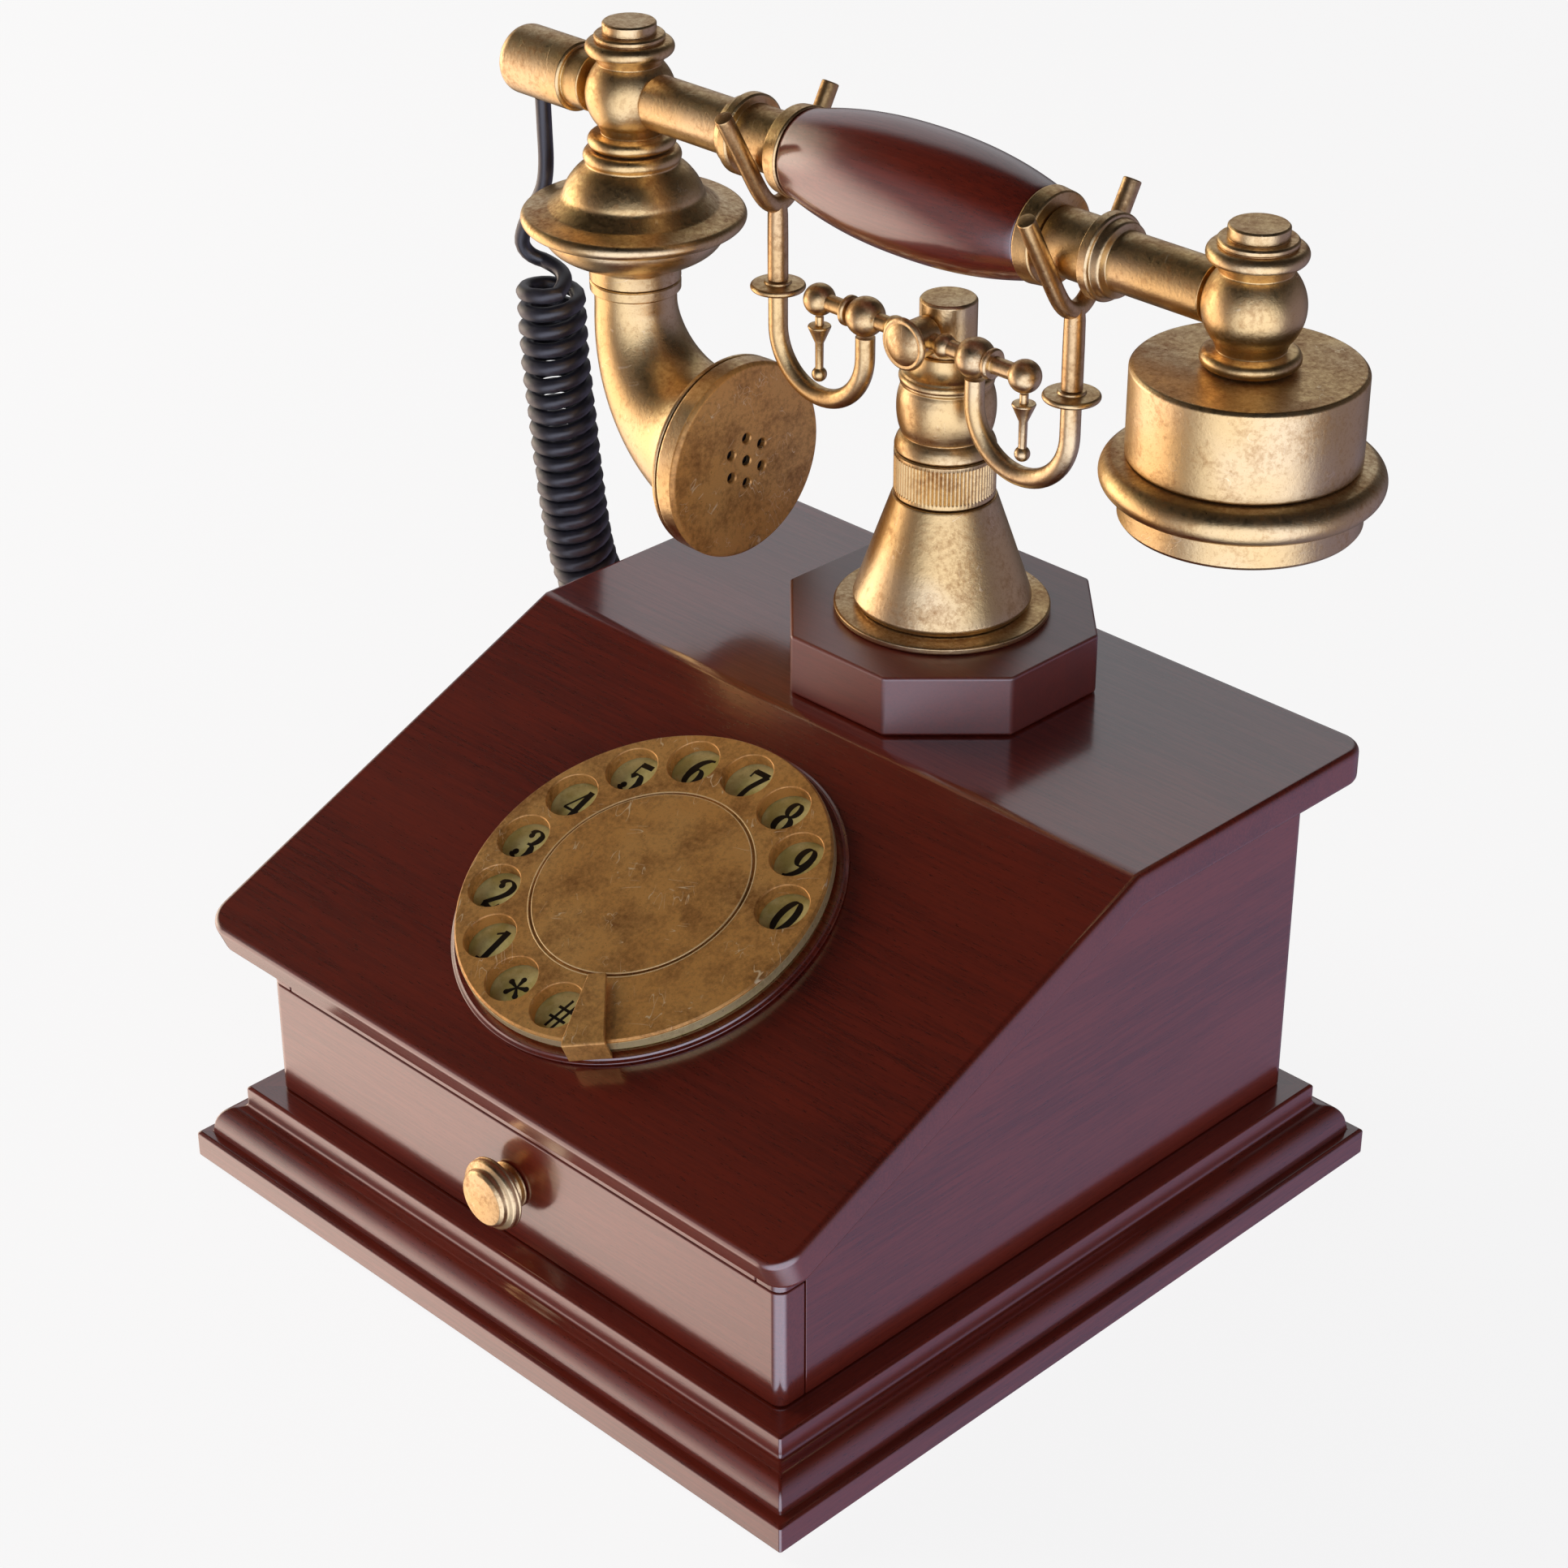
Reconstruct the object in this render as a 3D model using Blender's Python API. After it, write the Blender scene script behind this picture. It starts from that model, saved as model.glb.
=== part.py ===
"""French-style cradle telephone: a wooden desk-shaped cabinet with a rotary dial on its slope and a
drawer in its front, a brass column with a sprung cradle, and a brass and wood handset on a curly cord.

Sizes are in millimetres and become metres as each mesh is made. +Z is up, the front faces -Y, and the
origin is the middle of the felt pad that the telephone rests on.
"""

import math

import bmesh
import bpy
from mathutils import Matrix, Vector

MM = 0.001
GAP = 0.3  # clearance kept between neighbouring pieces

# Plinth and cabinet
PLINTH_HALF = 100.0
PLINTH_TOP = 21.4
PLINTH_OPENING_HALF = 78.0
BODY_HALF = 84.8
BODY_BACK = 86.2
BOARD = 7.0
DRAWER_TOP = 51.7
DRAWER_FRONT_THICK = 7.5
DUST_BOARD_THICK = 3.0

# Lid: one board bent at the ridge
LID_HALF = 95.3
LID_FRONT = Vector((-95.8, 69.0))  # y, z of the upper front edge
LID_RIDGE = Vector((13.45, 115.7))
LID_BACK = 95.0
LID_THICK = 9.0
LID_CORNER = 7.0

# Dial, in the frame of the slope: heights are above the lid's surface
DIAL_BEZEL_RADIUS = 46.6
DIAL_PLATE_RADIUS = 43.4
DIAL_WHEEL_RADIUS = 44.2
DIAL_DISC_RADIUS = 27.1
DIAL_HOLES = 12
DIAL_HOLE_RADIUS = 6.15
DIAL_HOLE_CIRCLE = 35.9
DIAL_FIRST_HOLE = -78.2  # degrees, the last of the twelve characters
DIAL_HOLE_STEP = -24.0
DIAL_PLATE_TOP = 2.9
DIAL_WHEEL_TOP = 5.7
DIAL_SHAFT_RADIUS = 3.0

# Column and cradle
COLUMN_Y = 53.9
BLOCK_HALF = 35.5
BLOCK_TOP = 131.0
PLUNGER_RADIUS = 6.6
PLUNGER_TOP = 208.6
PUSH_ROD_RADIUS = 2.5
PUSH_ROD_END = 99.0
CROSSBAR_Y = 44.5
CROSSBAR_Z = 201.7
ARM_INNER_X = 16.7
ARM_OUTER_X = 44.6
ARM_BEND_Z = 191.8
ARM_RADIUS = 2.3
PENDANT_X = 31.2
FORK_RADIUS = 2.05
FORK_TIP = Vector((17.1, 245.7))  # half the spread of the tips, and their height

# Handset
HANDSET_Y = 44.5
HANDSET_Z = 235.5
MOUTH_X = -93.2
EAR_X = 91.4
BALL_RADIUS = 10.8
NECK_RADIUS = 7.4
TUBE_RADIUS = 6.6
HORN_BEND = 29.2
MOUTH_FACE_X = -55.3
MOUTH_DISC_RADIUS = 24.5
END_CAP_RADIUS = 8.4

# Curly cord
CORD_RADIUS = 1.9
COIL_RADIUS = 8.7
CORD_EXIT = (-124.6, 44.5, 226.8)
CORD_LEAD = [
    CORD_EXIT,
    (-124.4, 44.5, 219.0),
    (-124.3, 44.5, 211.0),
    (-125.3, 44.5, 205.0),
    (-127.6, 44.4, 200.4),
    (-130.5, 44.3, 196.2),
    (-133.1, 44.3, 191.6),
    (-134.7, 44.4, 187.4),
    (-134.4, 45.2, 184.4),
    (-132.2, 46.9, 182.4),
    (-129.0, 49.0, 181.5),
    (-125.2, 50.8, 181.2),
]
COIL_AXIS = [
    (-124.4, 44.5, 178.8),
    (-124.4, 45.2, 160.0),
    (-124.4, 46.6, 146.0),
    (-124.4, 48.4, 127.0),
    (-124.3, 51.0, 107.0),
    (-124.0, 53.9, 95.8),
    (-123.0, 58.4, 82.0),
    (-121.0, 64.5, 68.0),
]
CORD_TAIL = [
    (-120.8, 65.1, 66.8),
    (-118.6, 68.8, 60.4),
    (-114.2, 71.8, 54.6),
    (-108.4, 73.6, 50.2),
    (-101.6, 74.4, 47.4),
    (-94.4, 74.5, 46.0),
]
GROMMET_AT = (-85.1, 74.5, 46.0)

# Line jack in the back panel
JACK_AT_X = 46.0
JACK_AT_Z = 37.0

WOOD = ("mahogany", (0.085, 0.014, 0.008), 0.32, 0.0)
BRASS = ("aged_brass", (0.60, 0.40, 0.17), 0.34, 1.0)
BRONZE = ("dial_brass", (0.36, 0.21, 0.08), 0.42, 1.0)
KHAKI = ("number_plate_paint", (0.26, 0.25, 0.07), 0.5, 0.0)
FELT = ("green_felt", (0.02, 0.06, 0.03), 0.95, 0.0)
BLACK = ("black_plastic", (0.012, 0.012, 0.016), 0.4, 0.0)
STEEL = ("plated_steel", (0.55, 0.55, 0.56), 0.35, 1.0)
BOARD_GREEN = ("circuit_board", (0.02, 0.12, 0.05), 0.5, 0.0)


# ---------------------------------------------------------------- tools


def clear_scene():
    for old in list(bpy.data.objects):
        bpy.data.objects.remove(old, do_unlink=True)


def finish_material(finish):
    name, colour, roughness, metallic = finish
    material = bpy.data.materials.get(name)
    if material is None:
        material = bpy.data.materials.new(name)
        material.use_nodes = True
        shader = material.node_tree.nodes["Principled BSDF"]
        shader.inputs["Base Color"].default_value = (*colour, 1.0)
        shader.inputs["Roughness"].default_value = roughness
        shader.inputs["Metallic"].default_value = metallic
        material.diffuse_color = (*colour, 1.0)
    return material


def add_object(name, data, finish, place):
    obj = bpy.data.objects.new(name, data)
    data.materials.append(finish_material(finish))
    obj.matrix_world = place
    bpy.context.collection.objects.link(obj)
    return obj


def mesh_object(name, bm, finish, place, smooth=True):
    """Turns a bmesh in millimetres into an object in metres."""
    bmesh.ops.recalc_face_normals(bm, faces=bm.faces)
    bmesh.ops.scale(bm, vec=(MM, MM, MM), verts=bm.verts)
    mesh = bpy.data.meshes.new(name)
    bm.to_mesh(mesh)
    bm.free()
    if smooth:
        mesh.shade_smooth()
        mesh.set_sharp_from_angle(angle=math.radians(35))
    return add_object(name, mesh, finish, place)


def at(x=0.0, y=0.0, z=0.0):
    return Matrix.Translation((x * MM, y * MM, z * MM))


def along_x(x, y, z):
    """Places a piece so that its own Z axis runs along the world's +X."""
    return at(x, y, z) @ Matrix.Rotation(math.radians(90), 4, "Y")


def towards_front(x, y, z):
    """Places a piece so that its own Z axis runs along the world's -Y."""
    return at(x, y, z) @ Matrix.Rotation(math.radians(90), 4, "X")


def arc(centre_r, centre_z, radius, start, end, steps):
    """Points on a circle in a turned outline, from one angle to another in degrees."""
    points = []
    for step in range(steps + 1):
        angle = math.radians(start + (end - start) * step / steps)
        points.append((centre_r + radius * math.cos(angle), centre_z + radius * math.sin(angle)))
    return points


def bridge(bm, ring, other):
    """Joins two loops of vertices, either of which may be a single point."""
    count = max(len(ring), len(other))
    for i in range(count):
        j = (i + 1) % count
        if len(ring) == 1:
            bm.faces.new((ring[0], other[j], other[i]))
        elif len(other) == 1:
            bm.faces.new((ring[i], ring[j], other[0]))
        else:
            bm.faces.new((ring[i], ring[j], other[j], other[i]))


def loft(bm, rings, closed):
    for ring, other in zip(rings, rings[1:]):
        bridge(bm, ring, other)
    if closed:
        bridge(bm, rings[-1], rings[0])


def turned(name, outline, finish, place, sides=32):
    """A turned solid. The outline is (radius, height); it ends on the axis, or closes into a ring."""
    bm = bmesh.new()
    rings = []
    for radius, height in outline:
        if radius == 0:
            rings.append([bm.verts.new((0, 0, height))])
            continue
        ring = []
        for side in range(sides):
            angle = 2 * math.pi * side / sides
            ring.append(bm.verts.new((radius * math.cos(angle), radius * math.sin(angle), height)))
        rings.append(ring)
    loft(bm, rings, closed=outline[0][0] > 0)
    return mesh_object(name, bm, finish, place)


def block(name, low, high, finish, bevel=0.0, place=None):
    bm = bmesh.new()
    bmesh.ops.create_cube(bm, size=1.0)
    size = [b - a for a, b in zip(low, high)]
    middle = [(a + b) / 2 for a, b in zip(low, high)]
    for vert in bm.verts:
        vert.co = Vector([c * s + m for c, s, m in zip(vert.co, size, middle)])
    if bevel:
        bmesh.ops.bevel(bm, geom=list(bm.edges), offset=bevel, segments=1, profile=0.5, affect="EDGES")
    return mesh_object(name, bm, finish, place or Matrix(), smooth=False)


def extruded(name, outline, low, high, finish, place=None, axis="X"):
    """A straight prism. On axis X the outline is (y, z), on axis Z it is (x, y)."""
    bm = bmesh.new()
    rings = []
    for end in (low, high):
        if axis == "X":
            rings.append([bm.verts.new((end, a, b)) for a, b in outline])
        else:
            rings.append([bm.verts.new((a, b, end)) for a, b in outline])
    loft(bm, rings, closed=False)
    for ring in rings:
        bm.faces.new(ring)
    return mesh_object(name, bm, finish, place or Matrix(), smooth=False)


def swept(name, path, radii, finish, sides=10):
    """A round bar along a path, with flat ends. Each point has its own radius."""
    bm = bmesh.new()
    points = [Vector(p) for p in path]
    rings = []
    side_way = None
    for i, point in enumerate(points):
        ahead = points[min(i + 1, len(points) - 1)]
        behind = points[max(i - 1, 0)]
        along = (ahead - behind).normalized()
        if side_way is None:
            side_way = along.orthogonal().normalized()
        side_way = (side_way - along * side_way.dot(along)).normalized()
        other_way = along.cross(side_way)
        ring = []
        for side in range(sides):
            angle = 2 * math.pi * side / sides
            offset = side_way * math.cos(angle) + other_way * math.sin(angle)
            ring.append(bm.verts.new(point + offset * radii[i]))
        rings.append(ring)
    loft(bm, rings, closed=False)
    bm.faces.new(rings[0])
    bm.faces.new(rings[-1])
    return mesh_object(name, bm, finish, Matrix())


def bezier(start, pull_start, pull_end, end, steps):
    a, b, c, d = (Vector(p) for p in (start, pull_start, pull_end, end))
    points = []
    for step in range(steps + 1):
        t = step / steps
        u = 1 - t
        points.append(a * u**3 + b * 3 * u * u * t + c * 3 * u * t * t + d * t**3)
    return points


def boolean(obj, tool, operation):
    """Cuts a piece with a guide solid, or welds the guide to it; the guide itself is left out."""
    tool.hide_render = True
    tool.display_type = "WIRE"
    modifier = obj.modifiers.new(operation.lower(), "BOOLEAN")
    modifier.object = tool
    modifier.operation = operation
    modifier.solver = "EXACT"


def drill(obj, radius, low, high, place, sides=24):
    outline = [(0, low), (radius, low), (radius, high), (0, high)]
    cutter = turned(f"{obj.name}_cutter", outline, STEEL, place, sides)
    boolean(obj, cutter, "DIFFERENCE")


def smooth_route(points, spacing):
    """Evenly spaced points on a smooth curve through the route's own points."""
    knots = [Vector(p) for p in points]
    knots = [knots[0] * 2 - knots[1]] + knots + [knots[-1] * 2 - knots[-2]]
    fine = []
    for a, b, c, d in zip(knots, knots[1:], knots[2:], knots[3:]):
        for step in range(20):
            t = step / 20
            fine.append(
                0.5 * (2 * b + (c - a) * t + (2 * a - 5 * b + 4 * c - d) * t * t
                       + (3 * b - a - 3 * c + d) * t**3)
            )
    fine.append(knots[-2])
    total = sum((b - a).length for a, b in zip(fine, fine[1:]))
    count = max(2, round(total / spacing))
    route, travelled, target = [fine[0]], 0.0, total / count
    for a, b in zip(fine, fine[1:]):
        step = (b - a).length
        while travelled + step >= target - 1e-9 and len(route) < count:
            route.append(a.lerp(b, (target - travelled) / step))
            target += total / count
        travelled += step
    return route + [fine[-1]]


def cord_tube(name, points, radius, spacing, resolution):
    """A stretch of cord as a bevelled curve with filled caps."""
    curve = bpy.data.curves.new(name, "CURVE")
    curve.dimensions = "3D"
    curve.bevel_depth = radius * MM
    curve.bevel_resolution = resolution
    curve.use_fill_caps = True
    route = smooth_route(points, spacing)
    spline = curve.splines.new("POLY")
    spline.points.add(len(route) - 1)
    for spot, point in zip(spline.points, route):
        spot.co = (*(point * MM), 1.0)
    return add_object(name, curve, BLACK, Matrix())


# ---------------------------------------------------------------- the lid's surfaces

SLOPE = (LID_RIDGE - LID_FRONT).normalized()
SLOPE_ANGLE = math.atan2(SLOPE.y, SLOPE.x)
SLOPE_NORMAL = Vector((-SLOPE.y, SLOPE.x))
LID_TOP = LID_RIDGE.y


def lid_underside(y):
    """Height of the lid's lower surface above a place in the cabinet."""
    under = LID_FRONT - SLOPE_NORMAL * LID_THICK
    return min(under.y + (y - under.x) * math.tan(SLOPE_ANGLE), LID_TOP - LID_THICK)


def underside_ridge():
    return LID_RIDGE.x + LID_THICK * math.tan(SLOPE_ANGLE / 2)


def dial_place(height=0.0):
    """The slope's frame at the dial's centre: its Z axis is the slope's outward normal."""
    middle = (LID_FRONT + LID_RIDGE) / 2 + SLOPE_NORMAL * height
    return at(0, middle.x, middle.y) @ Matrix.Rotation(SLOPE_ANGLE, 4, "X")


# ---------------------------------------------------------------- base and cabinet


def make_base():
    board_half = PLINTH_OPENING_HALF - GAP
    block("felt_pad", (-board_half, -board_half, 0), (board_half, board_half, 1.2), FELT)
    block("base_board", (-board_half, -board_half, 1.5), (board_half, board_half, 7.5), WOOD)
    make_plinth()


def make_plinth():
    """A frame of mitred moulding: slab, rounded step, hollow and fillet."""
    outline = [(1.0, 0.4), (0.0, 1.6), (0.0, 7.7), (0.6, 8.3), (2.8, 8.3)]
    outline += [(3.0 + 4.6 * (1 - math.cos(a)), 9.0 + 6.4 * math.sin(a)) for a in (0.0, 0.6, 1.1, 1.5)]
    outline += [(9.0, 16.0), (9.2, 17.6), (9.2, 20.9), (9.7, PLINTH_TOP)]
    bm = bmesh.new()
    rings = []
    for inset, height in outline:
        half = PLINTH_HALF - inset
        corners = ((-half, -half), (half, -half), (half, half), (-half, half))
        rings.append([bm.verts.new((x, y, height)) for x, y in corners])
    for height in (PLINTH_TOP, 0.4):
        half = PLINTH_OPENING_HALF
        corners = ((-half, -half), (half, -half), (half, half), (-half, half))
        rings.append([bm.verts.new((x, y, height)) for x, y in corners])
    loft(bm, rings, closed=True)
    mesh_object("plinth_moulding", bm, WOOD, Matrix(), smooth=False)


def make_cabinet():
    floor = PLINTH_TOP + GAP
    front = -BODY_HALF
    behind_drawer = front + DRAWER_FRONT_THICK + GAP
    rail_floor = DRAWER_TOP + GAP
    ridge = underside_ridge()
    side = [
        (behind_drawer, floor),
        (BODY_BACK, floor),
        (BODY_BACK, lid_underside(BODY_BACK) - GAP),
        (ridge, lid_underside(ridge) - GAP),
        (front, lid_underside(front) - GAP),
        (front, rail_floor),
        (behind_drawer, rail_floor),
    ]
    inner = BODY_HALF - BOARD
    extruded("cabinet_side_left", side, -BODY_HALF, -inner, WOOD)
    extruded("cabinet_side_right", side, inner, BODY_HALF, WOOD)
    between = inner - GAP
    back_inner = BODY_BACK - BOARD
    back = block("cabinet_back", (-between, back_inner, floor),
                 (between, BODY_BACK, lid_underside(BODY_BACK) - GAP), WOOD)
    x, z, half_wide, half_tall = JACK_AT_X, JACK_AT_Z, 8.0 + GAP, 7.0 + GAP
    window = block("cabinet_back_cutter", (x - half_wide, back_inner - 5, z - half_tall),
                   (x + half_wide, BODY_BACK + 5, z + half_tall), STEEL)
    boolean(back, window, "DIFFERENCE")
    rail_back = front + BOARD
    rail = [
        (front, rail_floor),
        (rail_back, rail_floor),
        (rail_back, lid_underside(rail_back) - GAP),
        (front, lid_underside(front) - GAP),
    ]
    extruded("front_rail", rail, -between, between, WOOD)
    block("dust_board", (-between, rail_back + GAP, rail_floor),
          (between, back_inner - GAP, rail_floor + DUST_BOARD_THICK), WOOD)


def make_lid():
    thick = SLOPE_NORMAL * LID_THICK
    ridge = underside_ridge()
    outline = [
        tuple(LID_FRONT),
        tuple(LID_RIDGE),
        (LID_BACK, LID_TOP),
        (LID_BACK, LID_TOP - LID_THICK),
        (ridge, LID_TOP - LID_THICK),
        tuple(LID_FRONT - thick),
    ]
    bm = bmesh.new()
    rings = [[bm.verts.new((x, y, z)) for y, z in outline] for x in (-LID_HALF, LID_HALF)]
    loft(bm, rings, closed=False)
    for ring in rings:
        bm.faces.new(ring)
    corners = []
    for ring in rings:
        corners.append(bm.edges.get((ring[0], ring[5])))
        corners.append(bm.edges.get((ring[2], ring[3])))
    bmesh.ops.recalc_face_normals(bm, faces=bm.faces)
    bmesh.ops.bevel(bm, geom=corners, offset=LID_CORNER, segments=4, profile=0.5, affect="EDGES")
    lid = mesh_object("lid", bm, WOOD, Matrix(), smooth=False)
    drill(lid, PUSH_ROD_RADIUS + 1.0, LID_TOP - 20, LID_TOP + 20, at(0, COLUMN_Y, 0), 16)
    drill(lid, DIAL_SHAFT_RADIUS + 1.0, -20, 20, dial_place(), 16)


def make_pedestal():
    cut = BLOCK_HALF * (2 - math.sqrt(2))
    edge = BLOCK_HALF - cut
    w = BLOCK_HALF
    octagon = [(w, -edge), (w, edge), (edge, w), (-edge, w), (-w, edge), (-w, -edge), (-edge, -w), (edge, -w)]
    pedestal = extruded("pedestal_block", octagon, LID_TOP + GAP, BLOCK_TOP, WOOD, at(0, COLUMN_Y), "Z")
    drill(pedestal, PUSH_ROD_RADIUS + 1.0, 100, 140, at(0, COLUMN_Y), 16)


# ---------------------------------------------------------------- drawer


def make_drawer():
    floor = PLINTH_TOP + GAP
    back_of_front = -BODY_HALF + DRAWER_FRONT_THICK
    block("drawer_front", (-BODY_HALF, -BODY_HALF, floor), (BODY_HALF, back_of_front, DRAWER_TOP), WOOD, 0.6)
    half, wall, base = 72.0, 3.0, floor + 2.4
    tray_front, tray_back, rim = back_of_front + GAP, 70.0, 47.5
    tray = block("drawer_tray", (-half, tray_front, base), (half, tray_back, rim), WOOD)
    hollow = block("drawer_tray_cutter", (-half + wall, tray_front + wall, base + wall),
                   (half - wall, tray_back - wall, rim + 10), STEEL)
    boolean(tray, hollow, "DIFFERENCE")
    for side, word in ((-1, "left"), (1, "right")):
        make_runner(word, side, half, base)
    knob = [(0, 0.3), (7.3, 0.3), (7.4, 0.8), (6.3, 1.1), (6.2, 1.9), (4.0, 2.5), (3.7, 3.6), (8.4, 4.2)]
    knob += [(8.8, 4.7), (8.4, 5.2), (8.7, 5.9), (8.3, 6.7), (7.0, 7.2), (6.9, 8.3), (6.2, 8.9), (0, 9.4)]
    turned("drawer_knob", knob, BRASS, towards_front(0, -BODY_HALF, 36.8), 20)


def make_runner(word, side, tray_half, tray_base):
    """An L-shaped rail: a ledge under the tray and a leg against the cabinet's side."""
    wall = BODY_HALF - BOARD - GAP
    ledge_top = tray_base - GAP
    ledge_low = PLINTH_TOP + GAP
    outline = [
        (side * (tray_half - 6), ledge_low),
        (side * wall, ledge_low),
        (side * wall, ledge_top + 10),
        (side * (tray_half + GAP), ledge_top + 10),
        (side * (tray_half + GAP), ledge_top),
        (side * (tray_half - 6), ledge_top),
    ]
    turn = Matrix(((1, 0, 0, 0), (0, 0, 1, 0), (0, 1, 0, 0), (0, 0, 0, 1)))
    extruded(f"drawer_runner_{word}", outline, -76.0, 76.0, WOOD, turn, "Z")


# ---------------------------------------------------------------- dial


def hole_places():
    for hole in range(DIAL_HOLES):
        angle = math.radians(DIAL_FIRST_HOLE + DIAL_HOLE_STEP * hole)
        yield DIAL_HOLE_CIRCLE * math.cos(angle), DIAL_HOLE_CIRCLE * math.sin(angle)


def make_dial():
    place = dial_place()
    bore = DIAL_SHAFT_RADIUS + GAP
    bezel = [(bore, GAP), (DIAL_BEZEL_RADIUS, GAP), (DIAL_BEZEL_RADIUS, 1.1), (46.2, 1.5), (bore, 1.5)]
    turned("dial_bezel", bezel, WOOD, place, 48)
    plate = [(bore, 1.8), (DIAL_PLATE_RADIUS, 1.8), (DIAL_PLATE_RADIUS, DIAL_PLATE_TOP), (bore, DIAL_PLATE_TOP)]
    turned("number_plate", plate, KHAKI, place, 48)
    make_finger_wheel(place)
    disc_low = DIAL_WHEEL_TOP + GAP
    disc = [(0, disc_low), (DIAL_DISC_RADIUS, disc_low), (DIAL_DISC_RADIUS, 6.3), (26.6, 6.6), (0, 6.7)]
    turned("dial_centre_disc", disc, BRONZE, place, 40)
    shaft_top = DIAL_WHEEL_TOP - 2.4 - GAP
    shaft = [(0, -24), (DIAL_SHAFT_RADIUS, -24), (DIAL_SHAFT_RADIUS, shaft_top), (0, shaft_top)]
    turned("dial_shaft", shaft, STEEL, place, 16)
    mechanism = [(bore, -26), (25, -26), (26, -25), (26, -10), (29, -LID_THICK - GAP), (bore, -LID_THICK - GAP)]
    turned("dial_mechanism", mechanism, STEEL, place, 24)
    make_finger_stop(place)


def make_finger_wheel(place):
    low = DIAL_WHEEL_TOP - 2.4
    top = DIAL_WHEEL_TOP
    outline = [(0, low), (DIAL_WHEEL_RADIUS - 0.3, low), (DIAL_WHEEL_RADIUS, low + 0.4)]
    outline += [(DIAL_WHEEL_RADIUS, top - 0.4), (DIAL_WHEEL_RADIUS - 0.4, top), (0, top)]
    wheel = turned("finger_wheel", outline, BRONZE, place, 48)
    bm = bmesh.new()
    for x, y in hole_places():
        shift = Matrix.Translation((x, y, (low + top) / 2))
        bmesh.ops.create_cone(bm, cap_ends=True, segments=16, radius1=DIAL_HOLE_RADIUS,
                              radius2=DIAL_HOLE_RADIUS, depth=6.0, matrix=shift)
    cutter = mesh_object("finger_wheel_cutter", bm, STEEL, place)
    boolean(wheel, cutter, "DIFFERENCE")


def make_finger_stop(place):
    """A tapered strap over the wheel, folded down past its rim onto the bezel."""
    strap = [
        (0.0, 7.7), (0.4, 7.0), (18.2, 6.6), (18.2, 1.8), (19.3, 1.8), (19.3, 7.0), (18.7, 7.6), (17.4, 7.9),
    ]
    bm = bmesh.new()
    rings = []
    for side in (-1, 1):
        ring = []
        for reach, height in strap:
            half = 2.1 + 2.6 * reach / 17.0
            ring.append(bm.verts.new((reach, side * half, height)))
        rings.append(ring)
    loft(bm, rings, closed=False)
    for ring in rings:
        bm.faces.new(ring)
    turn = Matrix.Translation((11.0 * MM, -24.8 * MM, 0)) @ Matrix.Rotation(math.radians(-55.4), 4, "Z")
    mesh_object("finger_stop", bm, BRASS, place @ turn, smooth=False)


# ---------------------------------------------------------------- column


def make_column():
    place = at(0, COLUMN_Y)
    bore = PUSH_ROD_RADIUS + 1.0
    flange = [(bore, 131.3), (25.0, 131.3), (25.4, 131.7), (25.4, 132.7), (25.0, 133.0), (bore, 133.0)]
    turned("column_flange", flange, BRASS, place, 36)
    cone = [(18.6, 133.3), (19.9, 133.3), (20.7, 134.0), (20.9, 135.0), (20.6, 136.2), (16.2, 149.0)]
    cone += [(12.4, 160.0), (12.1, 160.7), (bore, 160.7), (bore, 157.5), (9.0, 157.5)]
    turned("column_cone", cone, BRASS, place, 32)
    ring = [(bore, 161.0), (11.4, 161.0), (11.85, 161.5), (11.85, 171.5), (11.4, 171.9), (bore, 171.9)]
    turned("knurled_ring", ring, BRASS, place, 32)
    make_barrel(place, bore)


def make_barrel(place, bore):
    top_bore = PLUNGER_RADIUS + GAP
    outline = [(bore, 172.2), (11.7, 172.2), (11.75, 172.8), (11.3, 174.6), (10.6, 175.9), (10.1, 176.2)]
    outline += [(10.45, 176.5), (11.2, 178.8), (11.45, 181.8), (11.3, 184.9), (10.7, 187.6), (10.3, 188.3)]
    outline += [(10.9, 188.9), (11.0, 190.7), (10.6, 191.1), (9.2, 192.0), (8.3, 193.6), (7.8, 196.0)]
    outline += [(top_bore, 196.0), (top_bore, 176.0), (bore, 176.0)]
    turned("column_barrel", outline, BRASS, place, 24)


# ---------------------------------------------------------------- cradle


def make_cradle():
    plunger = [(0, PUSH_ROD_END), (PUSH_ROD_RADIUS, PUSH_ROD_END), (PUSH_ROD_RADIUS, 177.0)]
    plunger += [(PLUNGER_RADIUS, 177.0), (PLUNGER_RADIUS, PLUNGER_TOP - 0.3), (6.3, PLUNGER_TOP), (0, PLUNGER_TOP)]
    turned("plunger", plunger, BRASS, at(0, COLUMN_Y), 20)
    make_tee()
    make_crossbar()
    for side, word in ((-1, "left"), (1, "right")):
        make_pendant(word, side * PENDANT_X)
        make_arm(word, side)
        make_arm_flange(word, side * ARM_OUTER_X)
        make_fork(word, side * ARM_OUTER_X)


def make_tee():
    """The stub that carries the crossbar in front of the plunger, with its round end cap."""
    end = COLUMN_Y - PLUNGER_RADIUS - GAP
    outline = [(0, 0), (4.5, 0), (4.5, 6.6), (5.6, 6.7), (6.15, 7.1), (6.15, 8.0), (5.8, 8.4), (5.0, 8.4)]
    outline += [(4.3, 9.0), (2.4, 9.6), (0, 9.8)]
    tee = turned("tee_stub", outline, BRASS, towards_front(0, end, CROSSBAR_Z - 0.2), 20)
    drill(tee, 2.0 + GAP, -20, 20, along_x(0, CROSSBAR_Y, CROSSBAR_Z), 16)


def ball_outline(middle, radius, rod, steps):
    """Half of a ball on a rod, as points of a turned outline along the rod."""
    reach = math.degrees(math.acos(rod / radius))
    return arc(0, middle, radius, -reach, reach, steps)


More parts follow.
